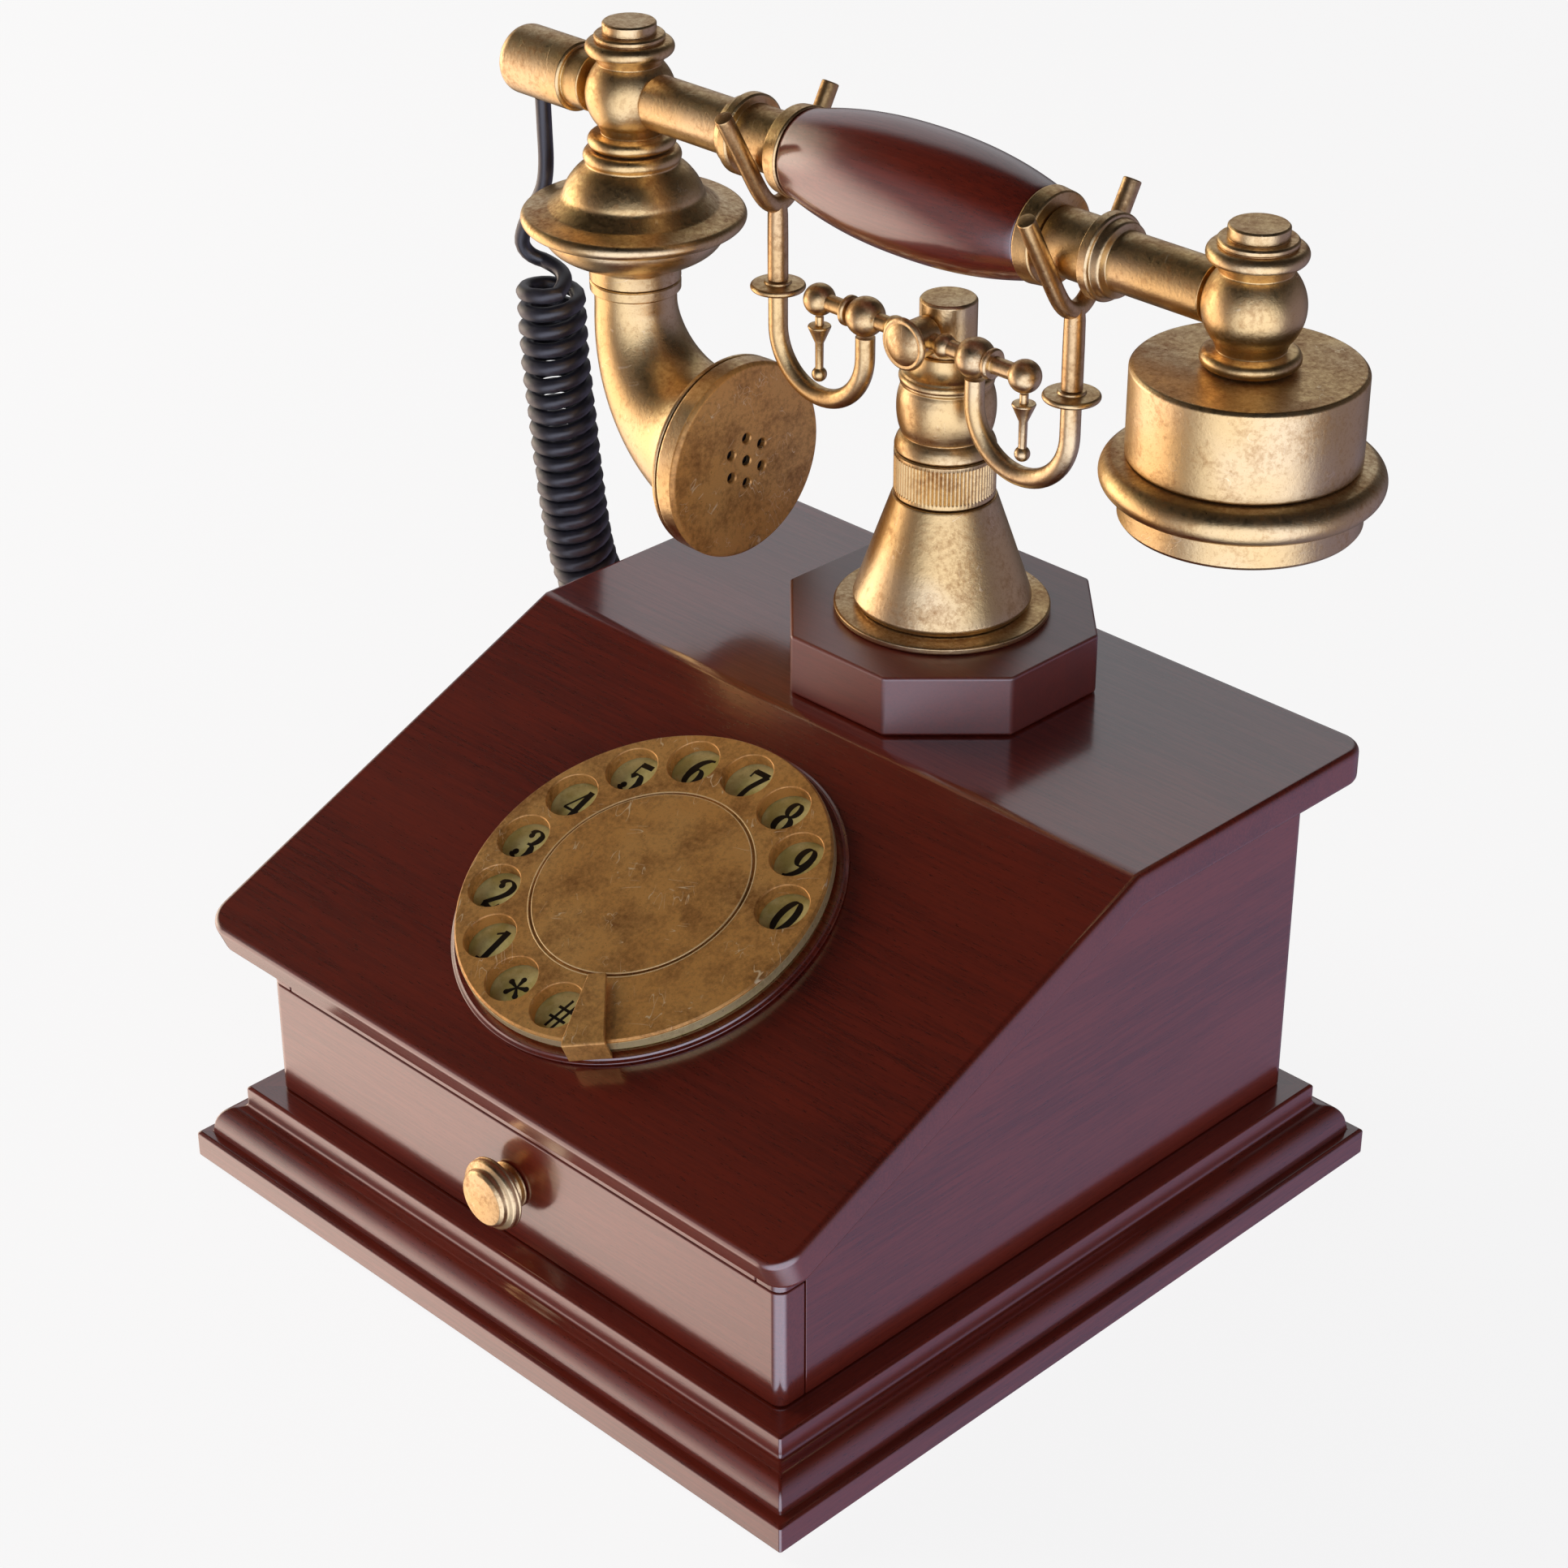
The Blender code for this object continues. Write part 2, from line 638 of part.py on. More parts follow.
def make_crossbar():
    rod = 2.0
    half = ball_outline(7.5, 2.8, rod, 3) + ball_outline(ARM_INNER_X, 4.65, rod, 6)
    half += [(rod, 20.95), (3.3, 20.95), (3.6, 21.3), (3.6, 22.1), (3.2, 22.5), (rod, 22.5)]
    end = arc(0, PENDANT_X, 3.8, math.degrees(-math.acos(rod / 3.8)), 90, 5)
    half += end[:-1] + [(0, PENDANT_X + 3.8)]
    other = [(r, -x) for r, x in reversed(half)]
    turned("crossbar", other + half, BRASS, along_x(0, CROSSBAR_Y, CROSSBAR_Z), 12)


def make_pendant(word, x):
    top = CROSSBAR_Z - 3.8 - GAP
    outline = [(0, top), (1.0, top), (1.0, 195.4), (2.6, 195.4), (2.75, 195.1), (2.6, 194.7), (1.0, 191.0)]
    outline += [(0.95, 184.9)] + arc(0, 183.3, 1.8, 55, -60, 4) + [(0, 181.5)]
    turned(f"pendant_{word}", list(reversed(outline)), BRASS, at(x, CROSSBAR_Y), 12)


def make_arm(word, side):
    """The J-shaped arm: down from the crossbar's ball, round, and up to the flange."""
    middle = (ARM_INNER_X + ARM_OUTER_X) / 2
    bend = (ARM_OUTER_X - ARM_INNER_X) / 2
    path = [(side * ARM_INNER_X, CROSSBAR_Y, CROSSBAR_Z - 4.65 - GAP)]
    for step in range(15):
        angle = math.pi * step / 14
        path.append((side * (middle - bend * math.cos(angle)), CROSSBAR_Y, ARM_BEND_Z - bend * math.sin(angle)))
    path.append((side * ARM_OUTER_X, CROSSBAR_Y, 199.6))
    swept(f"arm_{word}", path, [ARM_RADIUS] * len(path), BRASS)


def make_arm_flange(word, x):
    outline = [(0, 199.9), (2.9, 199.9), (3.0, 200.4), (5.9, 200.5), (6.5, 201.0), (6.5, 201.4), (5.9, 201.9)]
    outline += [(3.2, 202.1), (3.1, 202.7), (0, 202.7)]
    turned(f"arm_flange_{word}", outline, BRASS, at(x, CROSSBAR_Y), 20)


def make_fork(word, x):
    """Two arms that spread to the front and the back from one stem, where the handset's neck lies."""
    y, low = CROSSBAR_Y, 221.2
    front_arm = [(x, y - FORK_TIP.x, FORK_TIP.y)]
    front_arm += bezier((x, y - 7.9, 229.2), (x, y - 5.2, 224.3), (x, y - 3.2, low), (x, y, low), 6)
    back_arm = [(x, 2 * y - py, pz) for _, py, pz in reversed(front_arm[:-1])]
    path = front_arm + back_arm
    fork = swept(f"fork_{word}", path, [FORK_RADIUS] * len(path), BRASS)
    stem = swept(f"fork_{word}_stem", [(x, y, 203.0), (x, y, 213.0), (x, y, low)], [2.4, 2.4, 2.3], BRASS)
    boolean(fork, stem, "UNION")


# ---------------------------------------------------------------- handset


def make_handset():
    make_end_cap()
    make_ball("left", MOUTH_X)
    make_ball("right", EAR_X)
    make_tube("left", -1, -MOUTH_X)
    make_tube("right", 1, EAR_X)
    make_grip()
    make_mouthpiece()
    make_earpiece()


def make_end_cap():
    length, edge = 22.5, 3.4
    outline = [(0, 0)] + arc(END_CAP_RADIUS - edge, edge, edge, -90, 0, 5)
    outline += [(END_CAP_RADIUS, length - 0.5), (END_CAP_RADIUS - 0.5, length), (7.2, length)]
    outline += [(7.2, 28.0), (0, 28.0)]
    turned("handset_end_cap", outline, BRASS, along_x(-132.4, HANDSET_Y, HANDSET_Z), 20)


def make_ball(word, x):
    """The ball at the end of the tube, with the stacked finial above and the collar below."""
    reach = math.degrees(math.acos(7.6 / BALL_RADIUS))
    outline = [(0, -12.6), (9.4, -12.6)] + arc(8.9, -11.0, 1.65, -75, 90, 3) + [(7.2, -9.2)]
    outline += arc(0, 0, BALL_RADIUS, -reach, reach, 8)
    outline += arc(8.8, 11.4, 1.75, -90, 90, 3)
    outline += [(8.0, 13.2), (8.4, 13.5), (8.4, 14.3), (8.0, 14.7), (6.1, 14.7), (6.4, 15.0), (6.4, 17.2)]
    outline += [(6.1, 17.5), (0, 17.5)]
    turned(f"handset_ball_{word}", outline, BRASS, at(x, HANDSET_Y, HANDSET_Z), 24)


def make_tube(word, side, ball_x):
    """Neck for the cradle's fork, flared collar and plain tube; drawn along the positive axis."""
    end = ball_x - BALL_RADIUS - GAP
    outline = [(0, 39.8), (NECK_RADIUS, 39.8), (NECK_RADIUS, 51.9), (9.2, 51.9), (9.6, 52.3), (9.6, 54.4)]
    outline += [(9.3, 54.8), (8.6, 54.9), (8.4, 56.8), (7.4, 57.3), (TUBE_RADIUS, 57.4), (TUBE_RADIUS, end), (0, end)]
    turned(f"handset_tube_{word}", outline, BRASS, mirrored_along_x(side), 20)
    ferrule = [(0, 35.1), (10.5, 35.1), (10.8, 35.4), (10.4, 39.2), (10.1, 39.5), (0, 39.5)]
    turned(f"grip_ferrule_{word}", ferrule, BRASS, mirrored_along_x(side), 20)


def mirrored_along_x(side):
    turn = Matrix.Rotation(math.radians(90 * side), 4, "Y")
    return at(0, HANDSET_Y, HANDSET_Z) @ turn


def make_grip():
    half, steps = 34.8, 8
    outline = [(0, -half)]
    for step in range(-steps, steps + 1):
        t = step / steps
        outline.append((10.4 + 4.3 * (1 - abs(t) ** 2.2), half * t))
    outline.append((0, half))
    turned("grip", outline, WOOD, along_x(0, HANDSET_Y, HANDSET_Z), 24)


def make_mouthpiece():
    place = at(MOUTH_X, HANDSET_Y)
    bell = [(0, 222.5), (10.2, 222.5)] + arc(9.9, 220.7, 1.85, 80, -60, 3)
    bell += [(11.4, 218.7), (13.6, 216.9), (15.4, 214.7), (16.5, 212.8), (16.9, 211.4), (17.2, 211.0)]
    bell += [(20.3, 208.6), (20.9, 208.2), (25.0, 207.4)] + arc(25.3, 205.6, 1.75, 75, -75, 3)
    bell += [(22.6, 203.0), (22.0, 201.0), (19.8, 198.2), (16.0, 195.8), (12.0, 194.4), (11.1, 193.4)]
    bell += [(11.1, 190.1), (0, 190.1)]
    turned("mouthpiece_bell", list(reversed(bell)), BRASS, place, 28)
    make_horn()
    face = MOUTH_FACE_X
    cup = [(0, -1.5), (22.6, -1.5), (22.6, -6.0), (MOUTH_DISC_RADIUS, -6.0)]
    cup += [(MOUTH_DISC_RADIUS, -1.0), (MOUTH_DISC_RADIUS - 0.9, 0), (0, 0)]
    disc = turned("mouthpiece_disc", cup, BRASS, along_x(face, HANDSET_Y, 153.5), 32)
    bm = bmesh.new()
    spots = [(0, 0)] + [(5.8 * math.cos(math.radians(60 * k)), 5.8 * math.sin(math.radians(60 * k))) for k in range(6)]
    for u, v in spots:
        shift = Matrix.Translation((u, v, -1.0))
        bmesh.ops.create_cone(bm, cap_ends=True, segments=10, radius1=1.4, radius2=1.4, depth=5.0, matrix=shift)
    cutter = mesh_object("mouthpiece_disc_cutter", bm, STEEL, along_x(face, HANDSET_Y, 153.5))
    boolean(disc, cutter, "DIFFERENCE")
    capsule = [(0, -5.9), (20.5, -5.9), (21, -5.4), (21, -2.3), (20, -1.9), (0, -1.9)]
    turned("transmitter_capsule", capsule, BLACK, along_x(face, HANDSET_Y, 153.5), 24)


def make_horn():
    """A pipe that turns from straight down to the side as it widens, with a plate at its end."""
    back = MOUTH_FACE_X - 6.3
    top, steps = 183.7, 10
    path = [(MOUTH_X, HANDSET_Y, z) for z in (189.8, 187.4, 187.2, top)]
    radii = [11.1, 11.0, 10.0, 10.0]
    for step in range(1, steps + 1):
        angle = math.radians(88) * step / steps
        x = MOUTH_X + HORN_BEND * (1 - math.cos(angle))
        path.append((x, HANDSET_Y, top - HORN_BEND * math.sin(angle)))
        radii.append(10.0 + 9.2 * (step / steps) ** 1.34)
    path.append((back - 0.7, HANDSET_Y, path[-1][2]))
    radii.append(20.0)
    horn = swept("mouthpiece_horn", path, radii, BRASS, 20)
    plate = turned("mouthpiece_horn_plate", [(0, -1.4), (23.9, -1.4), (24.4, -0.9), (24.4, 0), (0, 0)],
                   BRASS, along_x(back, HANDSET_Y, 153.5), 32)
    boolean(horn, plate, "UNION")


def make_earpiece():
    place = at(EAR_X, HANDSET_Y)
    cup = [(0, 222.5), (23.9, 222.5), (24.65, 221.8), (24.65, 202.4), (22.8, 202.4), (22.8, 220.3), (0, 220.3)]
    turned("ear_cup", list(reversed(cup)), BRASS, place, 32)
    cover = [(0, 192.4), (8, 191.9), (18, 189.4), (23.0, 188.3), (25.0, 188.3), (25.6, 189.2), (25.6, 194.4)]
    cover += arc(26.2, 198.3, 3.7, -75, 75, 4) + [(25.2, 202.1), (22.6, 202.1), (22.6, 194.2), (0, 194.2)]
    turned("ear_cover", cover, BRASS, place, 32)
    capsule = [(0, 194.6), (21, 194.6), (21.6, 195.2), (21.6, 203.0), (20, 204.0), (0, 204.0)]
    turned("receiver_capsule", capsule, BLACK, place, 24)


# ---------------------------------------------------------------- inside the cabinet


def make_inner_parts():
    shelf = DRAWER_TOP + GAP + DUST_BOARD_THICK
    low = shelf + GAP
    board = block("circuit_board", (-60, -10, low), (10, 35, low + 4), BOARD_GREEN)
    for number, (x, y, height) in enumerate(((-50, 0, 9), (-30, 20, 8), (-6, 6, 12))):
        chip = block(f"circuit_board_chip_{number}", (x - 7, y - 5, low + 2), (x + 7, y + 5, low + height), BLACK)
        boolean(board, chip, "UNION")
    ringer = [(0, low), (18, low), (19, low + 1), (19, low + 9), (16, low + 14), (8, low + 17), (0, low + 17)]
    turned("ringer", ringer, STEEL, at(45, 20), 20)
    top = PUSH_ROD_END - GAP
    block("hook_switch", (-9, COLUMN_Y - 6, low), (9, COLUMN_Y + 6, top), BLACK)
    make_line_jack()
    x, y, z = GROMMET_AT
    grommet = [(0, 0), (4.6, 0), (4.6, 1.6), (3.2, 2.2), (2.7, 9.0), (0, 9.0)]
    turn = Matrix.Rotation(math.radians(-90), 4, "Y")
    turned("cord_grommet", grommet, BLACK, at(x, y, z) @ turn, 16)


def make_line_jack():
    """A modular socket through the back panel for the line cord's plug."""
    x, z, mouth = JACK_AT_X, JACK_AT_Z, BODY_BACK + 2.2
    jack = block("line_jack", (x - 8, 72, z - 7), (x + 8, mouth, z + 7), BLACK)
    socket = block("line_jack_cutter", (x - 5, mouth - 12.5, z - 3.4), (x + 5, mouth + 5, z + 3.4), STEEL)
    boolean(jack, socket, "DIFFERENCE")


# ---------------------------------------------------------------- cord


def make_cord():
    cord_tube("cord_lead", CORD_LEAD, CORD_RADIUS, 4.2, 2)
    cord_tube("cord_coil", COIL_AXIS, COIL_RADIUS, 9.0, 4)
    cord_tube("cord_tail", CORD_TAIL, CORD_RADIUS, 4.2, 2)


def main():
    clear_scene()
    make_base()
    make_cabinet()
    make_lid()
    make_pedestal()
    make_drawer()
    make_dial()
    make_column()
    make_cradle()
    make_handset()
    make_inner_parts()
    make_cord()


main()
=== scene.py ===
"""French-style cradle telephone: the looks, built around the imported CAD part.

Outlines are in millimetres in the part's own frame and become metres as each mesh is made. Every mesh is
written in world coordinates, so object coordinates in the materials are places on the telephone.
"""

from math import acos, atan2, cos, degrees, pi, radians, sin, sqrt, tan

import bmesh
import bpy
from mathutils import Matrix, Vector


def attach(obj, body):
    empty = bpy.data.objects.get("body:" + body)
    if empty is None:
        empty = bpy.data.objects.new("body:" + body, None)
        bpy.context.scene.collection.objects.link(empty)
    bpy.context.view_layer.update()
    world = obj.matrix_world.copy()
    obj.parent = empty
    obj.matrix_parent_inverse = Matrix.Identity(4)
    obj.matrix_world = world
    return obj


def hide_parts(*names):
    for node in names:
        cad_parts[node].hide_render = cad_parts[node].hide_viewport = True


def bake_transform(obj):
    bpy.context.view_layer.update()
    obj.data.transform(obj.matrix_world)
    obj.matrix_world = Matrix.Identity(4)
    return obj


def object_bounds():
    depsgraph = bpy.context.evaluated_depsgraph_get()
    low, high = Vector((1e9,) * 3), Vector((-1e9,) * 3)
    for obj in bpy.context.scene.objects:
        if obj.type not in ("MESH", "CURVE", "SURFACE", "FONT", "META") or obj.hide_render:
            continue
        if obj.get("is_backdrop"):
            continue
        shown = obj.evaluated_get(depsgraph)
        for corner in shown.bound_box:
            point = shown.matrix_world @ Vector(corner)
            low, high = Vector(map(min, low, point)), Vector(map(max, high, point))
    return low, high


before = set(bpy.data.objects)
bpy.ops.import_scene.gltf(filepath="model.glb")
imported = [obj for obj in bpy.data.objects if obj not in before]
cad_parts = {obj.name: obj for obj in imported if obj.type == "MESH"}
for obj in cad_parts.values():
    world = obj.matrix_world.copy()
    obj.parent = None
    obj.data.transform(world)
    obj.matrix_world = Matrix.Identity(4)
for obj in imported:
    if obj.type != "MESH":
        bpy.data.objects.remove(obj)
cad_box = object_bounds()

MM = 0.001
X, Y, Z = 0, 1, 2


# -------------------- material nodes


class Shade:
    """One material and short ways to add nodes to it. A value is a number, a tuple or another node's output."""

    def __init__(self, name):
        self.material = bpy.data.materials.new(name)
        self.material.use_nodes = True
        self.tree = self.material.node_tree
        self.shader = self.tree.nodes["Principled BSDF"]
        self.place = self.node("ShaderNodeTexCoord").outputs["Object"]

    def node(self, kind, values=None, **settings):
        node = self.tree.nodes.new(kind)
        for key, value in settings.items():
            setattr(node, key, value)
        for key, value in (values or {}).items():
            self.put(node.inputs[key], value)
        return node

    def put(self, socket, value):
        if isinstance(value, bpy.types.NodeSocket):
            self.tree.links.new(value, socket)
        elif isinstance(value, tuple) and len(value) == 3 and socket.type == "RGBA":
            socket.default_value = (*value, 1.0)
        else:
            socket.default_value = value

    def set(self, **values):
        for key, value in values.items():
            self.put(self.shader.inputs[key.replace("_", " ")], value)

    def stretched(self, scale, turn=(0.0, 0.0, 0.0)):
        """Places that are turned first and then scaled, so that the stretch lies along the turned axes."""
        turned_place = self.node("ShaderNodeMapping", {"Vector": self.place, "Rotation": turn}).outputs["Vector"]
        return self.node("ShaderNodeMapping", {"Vector": turned_place, "Scale": scale}).outputs["Vector"]

    def noise(self, vector, scale, detail=3.0, roughness=0.5, distortion=0.0):
        values = {"Vector": vector, "Scale": scale, "Detail": detail, "Roughness": roughness,
                  "Distortion": distortion}
        return self.node("ShaderNodeTexNoise", values).outputs["Fac"]

    def cloud(self, scale, detail=3.0, roughness=0.5, distortion=0.0):
        return self.noise(self.place, scale, detail, roughness, distortion)

    def math(self, operation, a, b=0.0, clamp=False):
        node = self.node("ShaderNodeMath", operation=operation, use_clamp=clamp)
        self.put(node.inputs[0], a)
        self.put(node.inputs[1], b)
        return node.outputs[0]

    def times(self, a, b):
        return self.math("MULTIPLY", a, b)

    def plus(self, a, b):
        return self.math("ADD", a, b)

    def swing(self, noise):
        """A noise's distance above or below its middle."""
        return self.math("SUBTRACT", noise, 0.5)

    def remap(self, value, low, high, to_low=0.0, to_high=1.0, smooth=True):
        values = {"Value": value, "From Min": low, "From Max": high, "To Min": to_low, "To Max": to_high}
        kind = "SMOOTHSTEP" if smooth else "LINEAR"
        return self.node("ShaderNodeMapRange", values, interpolation_type=kind).outputs["Result"]

    def mix(self, share, a, b):
        node = self.node("ShaderNodeMix", data_type="RGBA")
        for index, value in ((0, share), (6, a), (7, b)):
            self.put(node.inputs[index], value)
        return node.outputs[2]

    def bump(self, height, strength, distance, normal=None):
        values = {"Height": height, "Strength": strength, "Distance": distance}
        if normal is not None:
            values["Normal"] = normal
        return self.node("ShaderNodeBump", values).outputs["Normal"]

    def hairlines(self, turn, run, width, share):
        """Fine scratches across a turned direction: where a stretched noise crosses its middle, in patches."""
        long_noise = self.noise(self.stretched((14.0, 14.0 * run, 14.0 * run), turn), 1.0, 1.0)
        off_line = self.math("ABSOLUTE", self.swing(long_noise))
        line = self.remap(off_line, 0.0, width, 1.0, 0.0)
        patch = self.noise(self.stretched((120.0,) * 3, turn), 1.0, 1.0)
        return self.times(line, self.remap(patch, 1.0 - share, 1.03 - share))


WOOD_DARK, WOOD_RED, WOOD_WARM = (0.100, 0.0100, 0.0043), (0.170, 0.0174, 0.0071), (0.206, 0.0240, 0.0098)
WOOD_PORE = (0.036, 0.0044, 0.0028)
BARE_METAL = (0.98, 0.78, 0.48)
# Families of scratches: (turn, how much longer than wide, line width in noise)
SCRATCH_WAYS = (
    ((-0.733, 0.0, -0.45), 26.0, 0.013), ((-0.733, 0.0, 0.9), 34.0, 0.012),
    ((-0.733, 0.0, -1.9), 22.0, 0.013), ((0.2, 1.1, 0.5), 30.0, 0.012),
)


def make_wood(name, axis, gloss=0.15):
    """Dark mahogany with its grain along one axis, under a lacquer. gloss is the lacquer's roughness."""
    shade = Shade(name)

    def along(run, across):
        scale = [across] * 3
        scale[axis] = run
        return shade.stretched(tuple(scale))

    drift = shade.noise(along(5.0, 26.0), 1.0, 2.0)
    figure = shade.noise(along(16.0, 170.0), 1.0, 4.0, 0.6, 1.1)
    fibre = shade.noise(along(52.0, 1500.0), 1.0, 4.0, 0.62, 0.25)
    pores = shade.noise(along(420.0, 3600.0), 1.0, 2.0, 0.55, 0.3)
    pore = shade.remap(pores, 0.59, 0.70)
    streak = shade.plus(shade.times(fibre, 0.70), shade.times(figure, 0.30))
    base = shade.mix(shade.remap(streak, 0.40, 0.61), WOOD_DARK, WOOD_RED)
    warm = shade.mix(shade.remap(drift, 0.35, 0.68), base, WOOD_WARM)
    toned = shade.mix(0.55, base, warm)
    colour = shade.mix(shade.times(pore, 0.50), toned, WOOD_PORE)
    relief = shade.plus(shade.times(fibre, 0.5), shade.times(pore, -0.6))
    lacquer = shade.cloud(260.0, 2.0)
    normal = shade.bump(relief, 0.10, 0.00010, shade.bump(lacquer, 0.05, 0.00030))
    shade.set(Base_Color=colour, Roughness=shade.remap(streak, 0.35, 0.65, 0.46, 0.36, False), Normal=normal)
    shade.set(Specular_IOR_Level=0.3, Coat_Weight=1.0, Coat_Roughness=gloss, Coat_IOR=2.4)
    shade.set(Coat_Normal=shade.bump(relief, 0.055, 0.00010, shade.bump(lacquer, 0.05, 0.00030)))
    return shade.material


def make_brass(name, gold, pale, brown, top_shade, level, patchy, scratched, metallic):
    """Aged brass: mottled patina, painted shade on upper faces and in recesses, and fine bright scratches.

    top_shade is the painted shade that upper faces gain, level shifts patina and shade everywhere, patchy is
    how uneven it is, scratched is the share of the surface that may have scratches, and metallic runs from bare
    metal to full patina and shade.
    """
    shade = Shade(name)
    blotch = shade.cloud(95.0, 6.0, 0.62, 0.4)
    mottle = shade.cloud(820.0, 5.0, 0.70)
    speck = shade.cloud(2600.0, 2.0, 0.6)
    normal = shade.node("ShaderNodeNewGeometry").outputs["Normal"]
    height = shade.node("ShaderNodeSeparateXYZ", {"Vector": normal}).outputs["Z"]
    # Painted shade: faces that look upwards are darkened, standing in for the dark ceiling that they reflect.
    upward_shade = shade.remap(height, 0.15, 0.95)
    # Painted shade: recesses and creases darken from ambient occlusion.
    recess_shade_ao = shade.node("ShaderNodeAmbientOcclusion", {"Distance": 0.0030}, samples=6, only_local=True)
    hollow = shade.remap(recess_shade_ao.outputs["AO"], 0.15, 0.72, 1.0, 0.0)
    patina_and_shade = shade.times(shade.swing(blotch), patchy)
    patina_and_shade = shade.plus(patina_and_shade, shade.times(shade.swing(mottle), 2.1))
    patina_and_shade = shade.plus(patina_and_shade, shade.times(upward_shade, top_shade))
    patina_and_shade = shade.plus(patina_and_shade, shade.times(hollow, 0.42))
    patina_and_shade = shade.math("ADD", patina_and_shade, level, clamp=True)
    tint = shade.remap(shade.cloud(38.0, 2.0), 0.38, 0.64)
    metal = shade.mix(shade.times(tint, 0.55), gold, pale)
    colour = shade.mix(patina_and_shade, metal, brown)
    colour = shade.mix(shade.remap(speck, 0.60, 0.72, 0.0, 0.35), colour, brown)
    marks = None
    for turn, run, width in SCRATCH_WAYS:
        line = shade.hairlines(turn, run, width, scratched)
        marks = line if marks is None else shade.math("MAXIMUM", marks, line)
    colour = shade.mix(shade.times(marks, 0.85), colour, BARE_METAL)
    rough = shade.remap(patina_and_shade, 0.0, 1.0, 0.30, 0.46, False)
    rough = shade.plus(rough, shade.times(shade.swing(mottle), 0.16))
    pits = shade.bump(speck, 0.16, 0.00012, shade.bump(mottle, 0.24, 0.00030))
    relief = shade.bump(marks, 0.25, 0.00005, pits)
    shade.set(Base_Color=colour, Metallic=shade.remap(patina_and_shade, 0.0, 1.0, *metallic, False), Roughness=rough)
    shade.set(Normal=relief)
    return shade.material


def make_khaki():
    shade = Shade("khaki_enamel")
    cloud = shade.cloud(140.0, 4.0, 0.6)
    speck = shade.cloud(1900.0, 3.0, 0.6)
    colour = shade.mix(shade.remap(cloud, 0.35, 0.66), (0.60, 0.535, 0.165), (0.90, 0.84, 0.37))
    colour = shade.mix(shade.remap(speck, 0.58, 0.72, 0.0, 0.3), colour, (0.24, 0.20, 0.06))
    shade.set(Base_Color=colour, Roughness=shade.remap(speck, 0.3, 0.7, 0.30, 0.48, False), Metallic=0.1)
    shade.set(Normal=shade.bump(speck, 0.08, 0.0001))
    return shade.material


def make_ink():
    shade = Shade("printing_ink")
    grain = shade.cloud(2600.0, 3.0, 0.6)
    shade.set(Base_Color=shade.mix(grain, (0.004, 0.004, 0.004), (0.016, 0.014, 0.011)), Roughness=0.42)
    shade.set(Normal=shade.bump(grain, 0.12, 0.00005))
    return shade.material


def make_black(name, dark, light, roughness, shine=0.5):
    shade = Shade(name)
    grain = shade.cloud(1800.0, 4.0, 0.6)
    wear = shade.cloud(160.0, 5.0, 0.65)
    shade.set(Base_Color=shade.mix(shade.remap(wear, 0.38, 0.7), dark, light))
    shade.set(Roughness=shade.remap(wear, 0.3, 0.7, roughness - 0.06, roughness + 0.08, False))
    shade.set(Specular_IOR_Level=shine, Normal=shade.bump(grain, 0.07, 0.0001))
    return shade.material


def make_steel():
    shade = Shade("zinc_plate")
    brushed = shade.noise(shade.stretched((2400.0, 160.0, 2400.0)), 1.0, 3.0, 0.6)
    spangle = shade.cloud(210.0, 3.0, 0.6)
    shade.set(Base_Color=shade.mix(spangle, (0.40, 0.41, 0.42), (0.66, 0.66, 0.65)), Metallic=1.0)
    shade.set(Roughness=shade.remap(brushed, 0.3, 0.7, 0.26, 0.44, False), Normal=shade.bump(brushed, 0.1, 0.0001))
    return shade.material


def make_felt():
    shade = Shade("felt_nap")
    fuzz = shade.cloud(2100.0, 5.0, 0.7)
    cloud = shade.cloud(90.0, 3.0)
    colour = shade.mix(fuzz, (0.010, 0.034, 0.017), (0.036, 0.092, 0.048))
    shade.set(Base_Color=shade.mix(shade.remap(cloud, 0.3, 0.7, 0.0, 0.4), colour, (0.05, 0.10, 0.05)))
    shade.set(Roughness=0.95, Sheen_Weight=0.35, Normal=shade.bump(fuzz, 0.5, 0.0004))
    return shade.material


def make_circuit_green():
    shade = Shade("solder_mask")
    trace = shade.noise(shade.stretched((900.0, 120.0, 900.0)), 1.0, 1.0)
    grid = shade.remap(trace, 0.50, 0.53)
    colour = shade.mix(grid, (0.012, 0.075, 0.030), (0.030, 0.155, 0.062))
    shade.set(Base_Color=colour, Roughness=0.32, Normal=shade.bump(grid, 0.1, 0.0001))
    return shade.material


WOOD = {axis: make_wood(f"mahogany_grain_{word}", axis) for axis, word in ((X, "x"), (Y, "y"))}
SATIN_WOOD = make_wood("mahogany_satin", X, gloss=0.40)
BRASS = make_brass("aged_brass_patina_and_shade", gold=(0.82, 0.585, 0.265), pale=(0.86, 0.71, 0.46),
                   brown=(0.44, 0.215, 0.070), top_shade=0.46, level=-0.02, patchy=1.9, scratched=0.32,
                   metallic=(1.0, 0.90))
BRONZE = make_brass("dial_bronze_patina_and_shade", gold=(0.76, 0.380, 0.105), pale=(0.80, 0.455, 0.150),
                    brown=(0.29, 0.122, 0.028), top_shade=0.10, level=0.20, patchy=2.9, scratched=0.36,
                    metallic=(0.42, 0.40))
# A paler, less metallic copy of the dial metal: painted sheen for the wheel's outward-facing side.
SHEEN_RIM_BRASS = make_brass("rim_brass_painted_sheen", gold=(0.86, 0.72, 0.38), pale=(0.88, 0.77, 0.46),
                       brown=(0.52, 0.37, 0.14), top_shade=0.0, level=0.05, patchy=1.6, scratched=0.34,
                       metallic=(0.62, 0.50))
